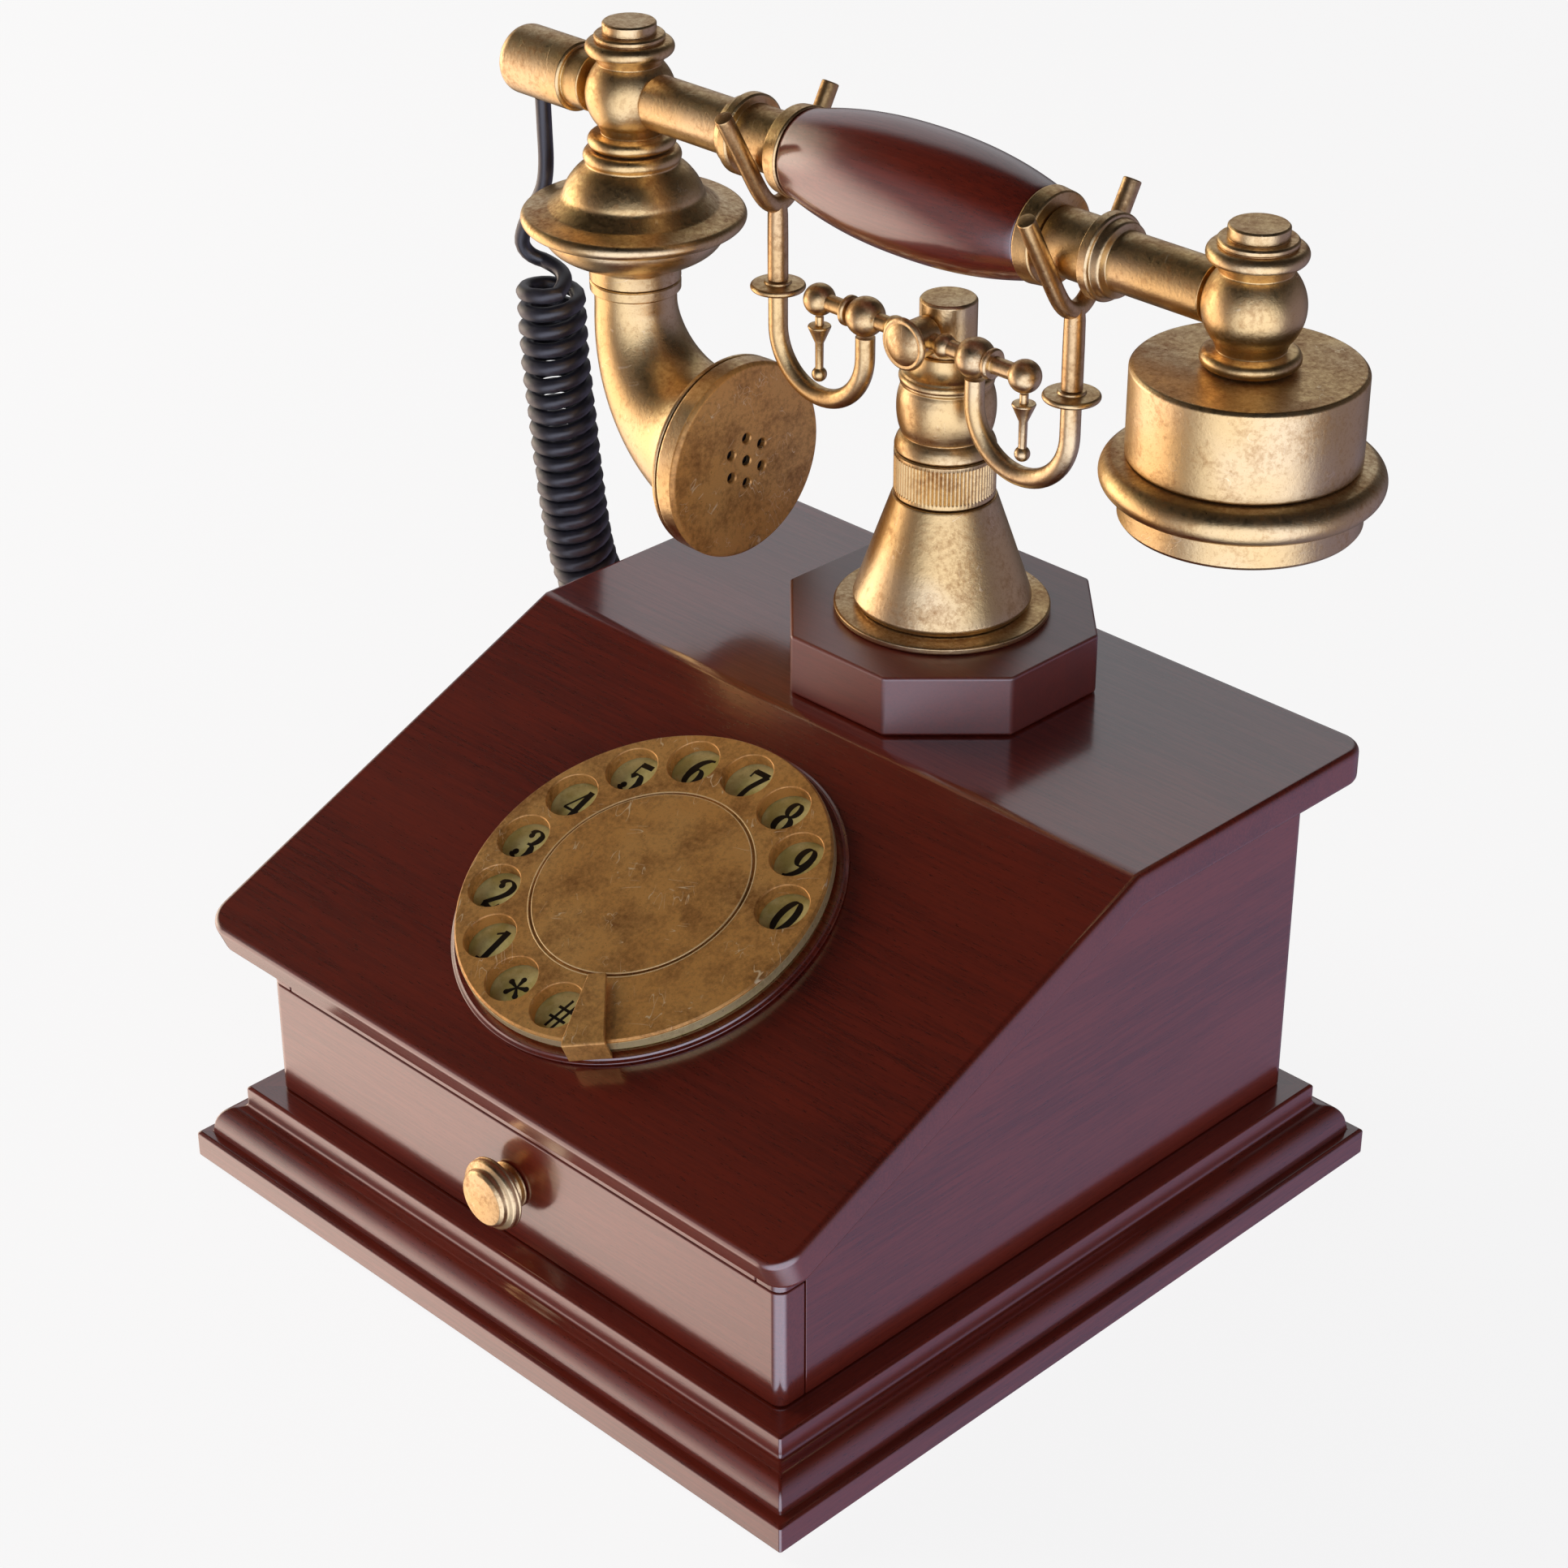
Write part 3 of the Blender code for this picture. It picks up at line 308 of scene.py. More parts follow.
# Pale and hardly metallic: a painted highlight for the dial seam's edges.
HIGHLIGHT_EDGE_BRASS = make_brass("edge_brass_painted_highlight", gold=(0.95, 0.68, 0.32), pale=(0.98, 0.76, 0.42),
                        brown=(0.66, 0.42, 0.15), top_shade=0.0, level=0.0, patchy=1.2, scratched=0.30,
                        metallic=(0.40, 0.35))
FORK_BRASS = make_brass("fork_brass_patina_and_shade", gold=(0.74, 0.49, 0.210), pale=(0.78, 0.58, 0.34),
                        brown=(0.36, 0.175, 0.060), top_shade=0.50, level=0.16, patchy=1.9, scratched=0.32,
                        metallic=(1.0, 0.90))
KHAKI = make_khaki()
INK = make_ink()
BLACK = make_black("black_moulding", (0.006, 0.006, 0.008), (0.016, 0.016, 0.020), 0.34)
CORD_BLACK = make_black("cord_jacket", (0.018, 0.0185, 0.026), (0.034, 0.035, 0.050), 0.38, shine=1.0)
STEEL = make_steel()
FELT = make_felt()
GREEN = make_circuit_green()


# -------------------- mesh tools


LEAST_CORNER = radians(24.0)
TINY = 1e-6  # mm


def at(x=0.0, y=0.0, z=0.0):
    return Matrix.Translation((x, y, z))


def along_x(x, y, z):
    """The piece's own Z axis runs along the world's +X."""
    return at(x, y, z) @ Matrix.Rotation(radians(90), 4, "Y")


def towards_front(x, y, z):
    """The piece's own Z axis runs along the world's -Y."""
    return at(x, y, z) @ Matrix.Rotation(radians(90), 4, "X")


def on_circle(radius, angle):
    return radius * cos(angle), radius * sin(angle)


def arc(centre_r, centre_z, radius, start, end, steps=14):
    points = []
    for step in range(steps + 1):
        angle = radians(start + (end - start) * step / steps)
        points.append((centre_r + radius * cos(angle), centre_z + radius * sin(angle)))
    return points


def curve_through(points, steps):
    """A smooth outline through its points."""
    knots = [Vector(p) for p in points]
    knots = [knots[0] * 2 - knots[1]] + knots + [knots[-1] * 2 - knots[-2]]
    fine = []
    for a, b, c, d in zip(knots, knots[1:], knots[2:], knots[3:]):
        for step in range(steps):
            t = step / steps
            fine.append(0.5 * (2 * b + (c - a) * t + (2 * a - 5 * b + 4 * c - d) * t * t
                               + (3 * b - a - 3 * c + d) * t**3))
    fine.append(knots[-2])
    return [tuple(p) for p in fine]


def fillet(outline, radius, steps=3):
    """The outline with its corners rounded, apart from those that turn less than LEAST_CORNER."""
    points = [Vector(p) for p in outline]
    out = [tuple(points[0])]
    for a, b, c in zip(points, points[1:], points[2:]):
        into, away = b - a, c - b
        if into.length < TINY or away.length < TINY:
            continue
        turn = into.angle(away)
        if turn < LEAST_CORNER:
            out.append(tuple(b))
            continue
        cut = min(radius * tan(min(turn, 2.4) / 2), 0.45 * into.length, 0.45 * away.length)
        start, end = b - into.normalized() * cut, b + away.normalized() * cut
        for step in range(steps + 1):
            t = step / steps
            out.append(tuple(start.lerp(b, t).lerp(b.lerp(end, t), t)))
    out.append(tuple(points[-1]))
    return out


def bridge(bm, ring, other):
    count = max(len(ring), len(other))
    for i in range(count):
        j = (i + 1) % count
        if len(ring) == 1:
            bm.faces.new((ring[0], other[j], other[i]))
        elif len(other) == 1:
            bm.faces.new((ring[i], ring[j], other[0]))
        else:
            bm.faces.new((ring[i], ring[j], other[j], other[i]))


def loft(bm, rings, closed):
    for ring, other in zip(rings, rings[1:]):
        bridge(bm, ring, other)
    if closed:
        bridge(bm, rings[-1], rings[0])


def capped(bm, rings):
    """A row of rings with a face over each end."""
    loft(bm, rings, closed=False)
    bm.faces.new(rings[0])
    bm.faces.new(rings[-1])


def bevel(bm, edges, radius, segments, clamp=False):
    bmesh.ops.bevel(bm, geom=edges, offset=radius, segments=segments, profile=0.5, affect="EDGES",
                    clamp_overlap=clamp)


def lathe(bm, outline, place, sides, swell=None):
    """Turns an outline of (radius, height) about the place's Z. swell(angle, height) scales the radius."""
    rings = []
    for radius, height in outline:
        if radius < TINY:
            rings.append([bm.verts.new(place @ Vector((0, 0, height)))])
            continue
        ring = []
        for side in range(sides):
            angle = 2 * pi * side / sides
            r = radius * (swell(angle, height) if swell else 1.0)
            ring.append(bm.verts.new(place @ Vector((*on_circle(r, angle), height))))
        rings.append(ring)
    loft(bm, rings, closed=outline[0][0] > TINY)


def drill(bm, place, radius, low, high):
    """A plain round cutter along the place's Z."""
    lathe(bm, [(0, low), (radius, low), (radius, high), (0, high)], place, 32)


def tube(bm, path, radii, sides, soft_end=0.0):
    """A round bar along a path, of one radius or one for each point. soft_end rounds the ends' edges."""
    points = [Vector(p) for p in path]
    radii = list(radii) if isinstance(radii, list) else [radii] * len(points)
    if soft_end:
        for end in (0, -1):
            ahead = (points[1] - points[0]) if end == 0 else (points[-2] - points[-1])
            ahead.normalize()
            extra = []
            for share in (0.0, 0.3, 0.65):
                shrink = soft_end * (1 - sin(acos(1 - share)))
                extra.append((points[end] + ahead * (soft_end * share), radii[end] - shrink))
            points[end] = points[end] + ahead * soft_end
            for point, radius in reversed(extra):
                if end == 0:
                    points.insert(0, point)
                    radii.insert(0, radius)
                else:
                    points.append(point)
                    radii.append(radius)
    rings, side_way = [], None
    for i, point in enumerate(points):
        along = (points[min(i + 1, len(points) - 1)] - points[max(i - 1, 0)]).normalized()
        if side_way is None:
            side_way = along.orthogonal().normalized()
        side_way = (side_way - along * side_way.dot(along)).normalized()
        other_way = along.cross(side_way)
        ring = []
        for side in range(sides):
            angle = 2 * pi * side / sides
            spoke = side_way * cos(angle) + other_way * sin(angle)
            ring.append(bm.verts.new(point + spoke * radii[i]))
        rings.append(ring)
    capped(bm, rings)


def soften(bm, radius, segments, pick=None, least=34.0):
    """Rounds the edges that turn by at least so many degrees, or those of them that pick(middle, way) takes."""
    bmesh.ops.recalc_face_normals(bm, faces=bm.faces)
    chosen = []
    for edge in bm.edges:
        if len(edge.link_faces) != 2 or edge.calc_face_angle(0.0) < radians(least):
            continue
        a, b = (v.co for v in edge.verts)
        if pick is None or pick((a + b) / 2, (b - a).normalized()):
            chosen.append(edge)
    bevel(bm, chosen, radius, segments, clamp=True)


def box(bm, low, high, radius=0.0):
    made = bmesh.ops.create_cube(bm, size=1.0)["verts"]
    for vert in made:
        vert.co = Vector([a + (b - a) * (c + 0.5) for a, b, c in zip(low, high, vert.co)])
    if radius:
        bevel(bm, list({edge for vert in made for edge in vert.link_edges}), radius, 3)


def prism(bm, outline, low, high, axis=X, place=None):
    """A straight prism along X, with an outline of (y, z), or along Z, with an outline of (x, y)."""
    place = place or Matrix()
    rings = []
    for end in (low, high):
        ring = []
        for a, b in outline:
            spot = Vector((end, a, b) if axis == X else (a, b, end))
            ring.append(bm.verts.new(place @ spot))
        rings.append(ring)
    capped(bm, rings)


def finished(name, bm, material, crease=32.0, weighted=True):
    """Turns a bmesh in millimetres into a mesh object in metres."""
    bmesh.ops.recalc_face_normals(bm, faces=bm.faces)
    bmesh.ops.scale(bm, vec=(MM, MM, MM), verts=bm.verts)
    mesh = bpy.data.meshes.new(name)
    bm.to_mesh(mesh)
    bm.free()
    mesh.shade_smooth()
    mesh.set_sharp_from_angle(angle=radians(crease))
    mesh.materials.append(material)
    obj = bpy.data.objects.new(name, mesh)
    bpy.context.scene.collection.objects.link(obj)
    if weighted:
        obj.modifiers.new("weighted_normals", "WEIGHTED_NORMAL").keep_sharp = True
    return obj


def cut(obj, bm, crease=32.0):
    """Takes the bmesh's solids out of a piece, and keeps the result as its mesh."""
    cutter = finished(obj.name + "_cutter", bm, obj.data.materials[0], weighted=False)
    obj.modifiers.clear()
    modifier = obj.modifiers.new("cut", "BOOLEAN")
    modifier.object = cutter
    modifier.solver = "EXACT"
    bpy.context.view_layer.update()
    result = bpy.data.meshes.new_from_object(obj.evaluated_get(bpy.context.evaluated_depsgraph_get()))
    obj.modifiers.clear()
    obj.data = result
    bpy.data.objects.remove(cutter)
    result.shade_smooth()
    result.set_sharp_from_angle(angle=radians(crease))
    obj.modifiers.new("weighted_normals", "WEIGHTED_NORMAL").keep_sharp = True


def fit(obj, body, slot, *nodes):
    """Hangs a piece on the body that it rides on and hides the CAD nodes that it stands for. Its finish, slot, is
    not used.
    """
    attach(obj, body)
    if nodes:
        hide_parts(*nodes)
    return obj


def piece(node, bm, material, body, slot, crease=32.0, weighted=True):
    """The finished mesh that stands for one CAD node."""
    return fit(finished(f"{node}_look", bm, material, crease, weighted), body, slot, node)


def turned(node, outline, place, body, material=None, slot="aged_brass", sides=96, radius=0.35, rounded=True):
    bm = bmesh.new()
    lathe(bm, fillet(outline, radius) if rounded else outline, place, sides)
    return piece(node, bm, material or BRASS, body, slot)


# -------------------- camera, light and floor

CAMERA_TARGET = Vector((0.00076, 0.00076, 0.10504))
CAMERA_DISTANCE = 0.80129
CAMERA_AZIMUTH, CAMERA_ELEVATION, CAMERA_ROLL = 45.0, 30.03, -0.11
CAMERA_LENS = 80.509
LIT_POINT, LIGHT_DISTANCE = Vector((0, 0, 0.13)), 1.6


def direction(azimuth, elevation):
    """A unit vector. Azimuth 0 is the front and 90 the right side."""
    turn, lift = radians(azimuth), radians(elevation)
    return Vector((sin(turn) * cos(lift), -cos(turn) * cos(lift), sin(lift)))


def looking(away):
    """The turn of a camera or a lamp that looks back along a direction."""
    return (-away).to_track_quat("-Z", "Y").to_matrix().to_4x4()


def make_camera():
    away = direction(CAMERA_AZIMUTH, CAMERA_ELEVATION)
    data = bpy.data.cameras.new("camera")
    data.sensor_width, data.lens = 36.0, CAMERA_LENS
    data.clip_start, data.clip_end = 0.05, 60.0
    camera = bpy.data.objects.new("camera", data)
    roll = Matrix.Rotation(radians(CAMERA_ROLL), 4, "Z")
    camera.matrix_world = Matrix.Translation(CAMERA_TARGET + away * CAMERA_DISTANCE) @ looking(away) @ roll
    bpy.context.scene.collection.objects.link(camera)
    bpy.context.scene.camera = camera


def area_light(name, azimuth, elevation, size, radiance, colour):
    """A soft box that looks at the telephone. Gloss shows the world's soft boxes, and not this one."""
    away = direction(azimuth, elevation)
    data = bpy.data.lights.new(name, "AREA")
    data.shape, data.size, data.size_y = "RECTANGLE", size, size
    data.energy = radiance * pi * size * size
    data.color = colour
    light = bpy.data.objects.new(name, data)
    light.matrix_world = Matrix.Translation(LIT_POINT + away * LIGHT_DISTANCE) @ looking(away)
    light.visible_glossy = False
    bpy.context.scene.collection.objects.link(light)


# Where gloss sees the studio bright: (azimuth, elevation, full within, none beyond, radiance), in degrees
SOFT_BOXES = (
    (-72, -20, 14, 46, (1.68, 1.30, 1.08)),
    (-40, -8, 14, 50, (0.16, 0.12, 0.13)),
    (-84, 6, 10, 32, (1.25, 1.10, 0.84)),
    (45, -20, 30, 62, (1.28, 1.33, 1.66)),
    (225, 24, 16, 34, (0.46, 0.465, 0.485)),
    (135, -30, 20, 60, (0.137, 0.122, 0.235)),
)
CEILING, HORIZON = (0.010, 0.008, 0.008), (0.095, 0.086, 0.092)


def make_world():
    """A dark ceiling and a few large soft boxes, so that metal and lacquer have something to reflect."""
    world = bpy.data.worlds.new("studio")
    bpy.context.scene.world = world
    world.use_nodes = True
    tree = world.node_tree
    way = tree.nodes.new("ShaderNodeTexCoord").outputs["Generated"]

    def vector_math(operation, a, b):
        node = tree.nodes.new("ShaderNodeVectorMath")
        node.operation = operation
        for socket, value in zip(node.inputs, (a, b)):
            if isinstance(value, bpy.types.NodeSocket):
                tree.links.new(value, socket)
            else:
                socket.default_value = value
        return node.outputs["Value" if operation == "DOT_PRODUCT" else "Vector"]

    def ramped(value, low, high, colour_low, colour_high):
        node = tree.nodes.new("ShaderNodeMapRange")
        node.data_type, node.interpolation_type = "FLOAT_VECTOR", "SMOOTHSTEP"
        spread = tree.nodes.new("ShaderNodeCombineXYZ")
        for socket in spread.inputs:
            tree.links.new(value, socket)
        tree.links.new(spread.outputs["Vector"], node.inputs["Vector"])
        for key, ends in (("From_Min_FLOAT3", (low,) * 3), ("From_Max_FLOAT3", (high,) * 3),
                          ("To_Min_FLOAT3", colour_low), ("To_Max_FLOAT3", colour_high)):
            next(i for i in node.inputs if i.identifier == key).default_value = ends
        return node.outputs["Vector"]

    height = vector_math("DOT_PRODUCT", way, (0.0, 0.0, 1.0))
    total = ramped(height, 0.15, 0.75, HORIZON, CEILING)
    for azimuth, elevation, full, none, radiance in SOFT_BOXES:
        towards = vector_math("DOT_PRODUCT", way, tuple(direction(azimuth, elevation)))
        edge, core = cos(radians(none)), cos(radians(full))
        lobe = ramped(towards, edge, core, (0.0, 0.0, 0.0), radiance)
        total = vector_math("ADD", total, lobe)
    tree.links.new(total, tree.nodes["Background"].inputs["Color"])


FLOOR_HALF, FLOOR_GAP = 60000.0, 0.0002  # half its side in mm, and how far it lies under the felt in m


def make_floor():
    shade = Shade("studio_floor")
    cloud = shade.cloud(3.0, 2.0)
    shade.set(Base_Color=shade.mix(cloud, (0.115, 0.115, 0.117), (0.125, 0.125, 0.127)), Roughness=0.9)
    shade.set(Specular_IOR_Level=0.0, Emission_Color=(1.0, 0.998, 1.0), Emission_Strength=0.885)
    bm = bmesh.new()
    bmesh.ops.create_grid(bm, x_segments=4, y_segments=4, size=FLOOR_HALF)
    floor = finished("studio_floor", bm, shade.material, weighted=False)
    floor.location.z = -FLOOR_GAP
    floor.visible_glossy = False
    floor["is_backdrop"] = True


make_camera()
make_world()
area_light("key", azimuth=-72, elevation=25, size=0.9, radiance=4.8, colour=(1.0, 0.92, 0.82))
area_light("fill", azimuth=60, elevation=30, size=1.2, radiance=0.35, colour=(0.92, 0.94, 1.0))
make_floor()
bpy.context.scene.view_settings.view_transform = "Standard"
bpy.context.scene.view_settings.look = "None"


# -------------------- curly cord

CORD_RADIUS = 1.9
COIL_MEAN = 6.8  # from the coil's axis to the middle of the wire
COIL_POINTS = 20  # for each turn
AXIS_STEP, LEAD_STEP = 0.2, 1.5
# From one turn to the next at the top, what it loses on the way down, and the share of the way that takes
COIL_PITCH, PITCH_LOSS, LOSS_SHARE = 4.95, 1.10, 0.75
CORD_EXIT = (-124.6, 44.5, 226.8)
CORD_LEAD = [
    CORD_EXIT, (-124.4, 44.5, 219.0), (-124.3, 44.5, 211.0), (-125.3, 44.5, 205.0), (-127.6, 44.4, 200.4),
    (-130.5, 44.3, 196.2), (-133.1, 44.3, 191.6), (-134.3, 44.4, 187.4), (-133.6, 45.6, 184.5),
    (-131.6, 47.6, 182.8), (-128.4, 50.0, 182.0),
]
COIL_AXIS = [
    (-124.4, 44.5, 180.6), (-124.4, 45.2, 160.0), (-124.4, 46.6, 146.0), (-124.4, 48.4, 127.0),
    (-124.3, 51.0, 107.0), (-124.0, 53.9, 95.8), (-123.0, 58.4, 82.0), (-121.0, 64.5, 68.0),
]
CORD_TAIL = [
    (-118.6, 68.8, 60.4), (-114.2, 71.8, 54.6), (-108.4, 73.6, 50.2), (-101.6, 74.4, 47.4), (-94.4, 74.5, 46.0),
]


def evenly(points, spacing):
    """The same line with points a fixed distance apart."""
    total = sum((b - a).length for a, b in zip(points, points[1:]))
    count = max(2, round(total / spacing))
    route, travelled, wanted = [points[0]], 0.0, total / count
    for a, b in zip(points, points[1:]):
        step = (b - a).length
        while travelled + step >= wanted - 1e-9 and len(route) < count:
            route.append(a.lerp(b, (wanted - travelled) / step))
            wanted += total / count
        travelled += step
    return route + [points[-1]]


def coil_points():
    """The helix round the coil's axis. Its turns are wider apart at the top, where it hangs."""
    axis = evenly([Vector(p) for p in curve_through(COIL_AXIS, 24)], AXIS_STEP)
    side_way, turn, points, due = Vector((0, 1, 0)), 0.0, [], 0.0
    for i, spot in enumerate(axis):
        along = (axis[min(i + 1, len(axis) - 1)] - axis[max(i - 1, 0)]).normalized()
        side_way = (side_way - along * side_way.dot(along)).normalized()
        share = i / (len(axis) - 1)
        pitch = COIL_PITCH - PITCH_LOSS * min(1.0, share / LOSS_SHARE)
        if turn >= due:
            across = side_way.cross(along)
            angle = 2 * pi * turn
            points.append(spot + (side_way * cos(angle) - across * sin(angle)) * COIL_MEAN)
            due += 1 / COIL_POINTS
        turn += AXIS_STEP / pitch
    return points


def relaxed(points, middle, reach, rounds):
    """Smooths a line near one of its points."""
    low, high = max(1, middle - reach), min(len(points) - 1, middle + reach)
    for _ in range(rounds):
        before = list(points)
        for i in range(low, high):
            points[i] = before[i] * 0.5 + (before[i - 1] + before[i + 1]) * 0.25
    return points


def make_cord():
    coil = coil_points()
    lead = evenly([Vector(p) for p in curve_through(CORD_LEAD + [tuple(coil[0])], 12)], LEAD_STEP)
    tail = evenly([Vector(p) for p in curve_through([tuple(coil[-1])] + CORD_TAIL, 12)], LEAD_STEP)
    line = lead[:-1] + coil
    seam = len(line)
    line = relaxed(line, len(lead), 5, 30)
    line = relaxed(line + tail[1:], seam, 6, 40)
    bm = bmesh.new()
    tube(bm, line, CORD_RADIUS, sides=16)
    cord = finished("curly_cord", bm, CORD_BLACK, weighted=False)
    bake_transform(cord)
    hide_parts("cord_lead", "cord_coil", "cord_tail")
    [tuple(p * MM) for p in line]


make_cord()


# -------------------- base and cabinet

PLINTH_HALF, PLINTH_TOP = 100.0, 21.4
BODY_HALF, BODY_BACK = 84.8, 86.2
BOARD = 7.0
GAP = 0.3
DRAWER_TOP = 51.7
LID_HALF, LID_BACK, LID_THICK = 95.3, 95.0, 9.0
LID_FRONT = Vector((-95.8, 69.0))  # y, z of the upper front edge
LID_RIDGE = Vector((13.45, 115.7))
SLOPE = (LID_RIDGE - LID_FRONT).normalized()
SLOPE_ANGLE = atan2(SLOPE.y, SLOPE.x)
SLOPE_NORMAL = Vector((-SLOPE.y, SLOPE.x))
LID_TOP = LID_RIDGE.y
COLUMN_Y, ROD_BORE, DIAL_SHAFT_BORE = 53.9, 3.5, 4.0
COLUMN = at(0, COLUMN_Y)
BLOCK_HALF, BLOCK_TOP = 35.5, 131.0
TRAY_HALF, TRAY_BACK, TRAY_TOP, TRAY_WALL = 72.0, 70.0, 47.5, 3.0


def lid_underside(y):
    under = LID_FRONT - SLOPE_NORMAL * LID_THICK
    return min(under.y + (y - under.x) * tan(SLOPE_ANGLE), LID_TOP - LID_THICK)


def underside_ridge():
    return LID_RIDGE.x + LID_THICK * tan(SLOPE_ANGLE / 2)


def dial_place():
    middle = (LID_FRONT + LID_RIDGE) / 2
    return at(0, middle.x, middle.y) @ Matrix.Rotation(SLOPE_ANGLE, 4, "X")


def give_grain(obj):
    """Mitred mouldings: the grain of each length follows its run."""
    obj.data.materials.append(WOOD[Y])
    for face in obj.data.polygons:
        face.material_index = 1 if abs(face.center.x) > abs(face.center.y) else 0


def make_plinth():
    outline = [(1.0, 0.4), (0.0, 1.6), (0.0, 7.7), (0.7, 8.3), (2.8, 8.3), (2.8, 8.9)]
    outline += [(3.0 + 4.6 * (1 - cos(0.1 * k)), 9.2 + 6.2 * sin(0.1 * k)) for k in range(1, 16)]
    outline += [(8.3, 15.6), (8.9, 16.0), (9.2, 16.9), (9.2, 20.9), (9.9, PLINTH_TOP), (22.0, PLINTH_TOP),
                (22.0, 0.4)]
    bm = bmesh.new()
    rings, corner, parts = [], 0.6, 5
    for inset, height in fillet(outline, 0.55):
        reach, ring = PLINTH_HALF - inset - corner, []
        for quarter, (x, y) in enumerate(((reach, reach), (-reach, reach), (-reach, -reach), (reach, -reach))):
            for part in range(parts + 1):
                angle = radians(90 * quarter + 90 * part / parts)
                ring.append(bm.verts.new((x + corner * cos(angle), y + corner * sin(angle), height)))
        rings.append(ring)
    loft(bm, rings, closed=True)
    give_grain(piece("plinth_moulding", bm, WOOD[X], "case", "mahogany"))


def make_side(word, side):
    floor, front = PLINTH_TOP + GAP, -BODY_HALF
    behind_drawer, rail_floor, ridge = front + 7.8, DRAWER_TOP + GAP, underside_ridge()
    outline = [
        (behind_drawer, floor), (BODY_BACK, floor), (BODY_BACK, lid_underside(BODY_BACK) - GAP),
        (ridge, lid_underside(ridge) - GAP), (front, lid_underside(front) - GAP), (front, rail_floor),
        (behind_drawer, rail_floor),
    ]
    inner = BODY_HALF - BOARD
    bm = bmesh.new()
    prism(bm, outline, side * inner, side * BODY_HALF)

    def outer_corner(middle, way):
        at_end = middle.y < front + 0.1 or middle.y > BODY_BACK - 0.1
        return abs(way.z) > 0.9 and abs(middle.x) > BODY_HALF - 0.1 and at_end

    soften(bm, 2.8, 6, outer_corner)
    soften(bm, 0.3, 2)
    piece(f"cabinet_side_{word}", bm, WOOD[Y], "case", "mahogany")


def make_cabinet():
    make_side("left", -1)
    make_side("right", 1)
    floor, front = PLINTH_TOP + GAP, -BODY_HALF
    between, rail_floor = BODY_HALF - BOARD - GAP, DRAWER_TOP + GAP
    bm = bmesh.new()
    box(bm, (-between, BODY_BACK - BOARD, floor), (between, BODY_BACK, lid_underside(BODY_BACK) - GAP), 0.4)
    back = finished("cabinet_back_look", bm, WOOD[X])
    window = bmesh.new()
    box(window, (37.7, 70, 29.7), (54.3, 96, 44.3))
    cut(back, window)
    fit(back, "case", "mahogany", "cabinet_back")
    rail_back = front + BOARD
    bm = bmesh.new()
    prism(bm, [(front, rail_floor), (rail_back, rail_floor), (rail_back, lid_underside(rail_back) - GAP),
               (front, lid_underside(front) - GAP)], -between, between)
    soften(bm, 0.3, 2)
    piece("front_rail", bm, WOOD[X], "case", "mahogany")


def make_lid():
    thick, ridge = SLOPE_NORMAL * LID_THICK, underside_ridge()
    outline = [tuple(LID_FRONT), tuple(LID_RIDGE), (LID_BACK, LID_TOP), (LID_BACK, LID_TOP - LID_THICK),
               (ridge, LID_TOP - LID_THICK), tuple(LID_FRONT - thick)]
    bm = bmesh.new()
    prism(bm, outline, -LID_HALF, LID_HALF)

    def end_corner(middle, way):
        return abs(way.x) < 0.1 and (middle.y < -90 or middle.y > LID_BACK - 0.1) and abs(way.z) > 0.7

    soften(bm, 7.0, 10, end_corner)

    soften(bm, 1.7, 5, least=50.0)

    def in_bend(edge):
        run = edge.verts[0].co - edge.verts[1].co
        turn = degrees(edge.calc_face_angle(0.0))
        return 18 < turn < 28 and abs(run.normalized().x) > 0.99 and run.length > 100

    bevel(bm, [edge for edge in bm.edges if in_bend(edge)], 1.5, 4)
    lid = finished("lid_look", bm, WOOD[X], crease=30.0)
    holes = bmesh.new()
    drill(holes, COLUMN, ROD_BORE, LID_TOP - 20, LID_TOP + 20)
    drill(holes, dial_place(), DIAL_SHAFT_BORE, -20, 20)
    cut(lid, holes, 30.0)
    fit(lid, "case", "mahogany", "lid")


def make_pedestal():
    w, edge = BLOCK_HALF, BLOCK_HALF * (sqrt(2) - 1)
    octagon = [(w, -edge), (w, edge), (edge, w), (-edge, w), (-w, edge), (-w, -edge), (-edge, -w), (edge, -w)]
    bm = bmesh.new()
    prism(bm, octagon, LID_TOP + GAP, BLOCK_TOP, Z, COLUMN)
    soften(bm, 0.8, 4)
    block = finished("pedestal_block_look", bm, SATIN_WOOD)
    hole = bmesh.new()
    drill(hole, COLUMN, ROD_BORE, 100, 140)
    cut(block, hole)
    fit(block, "case", "mahogany", "pedestal_block")


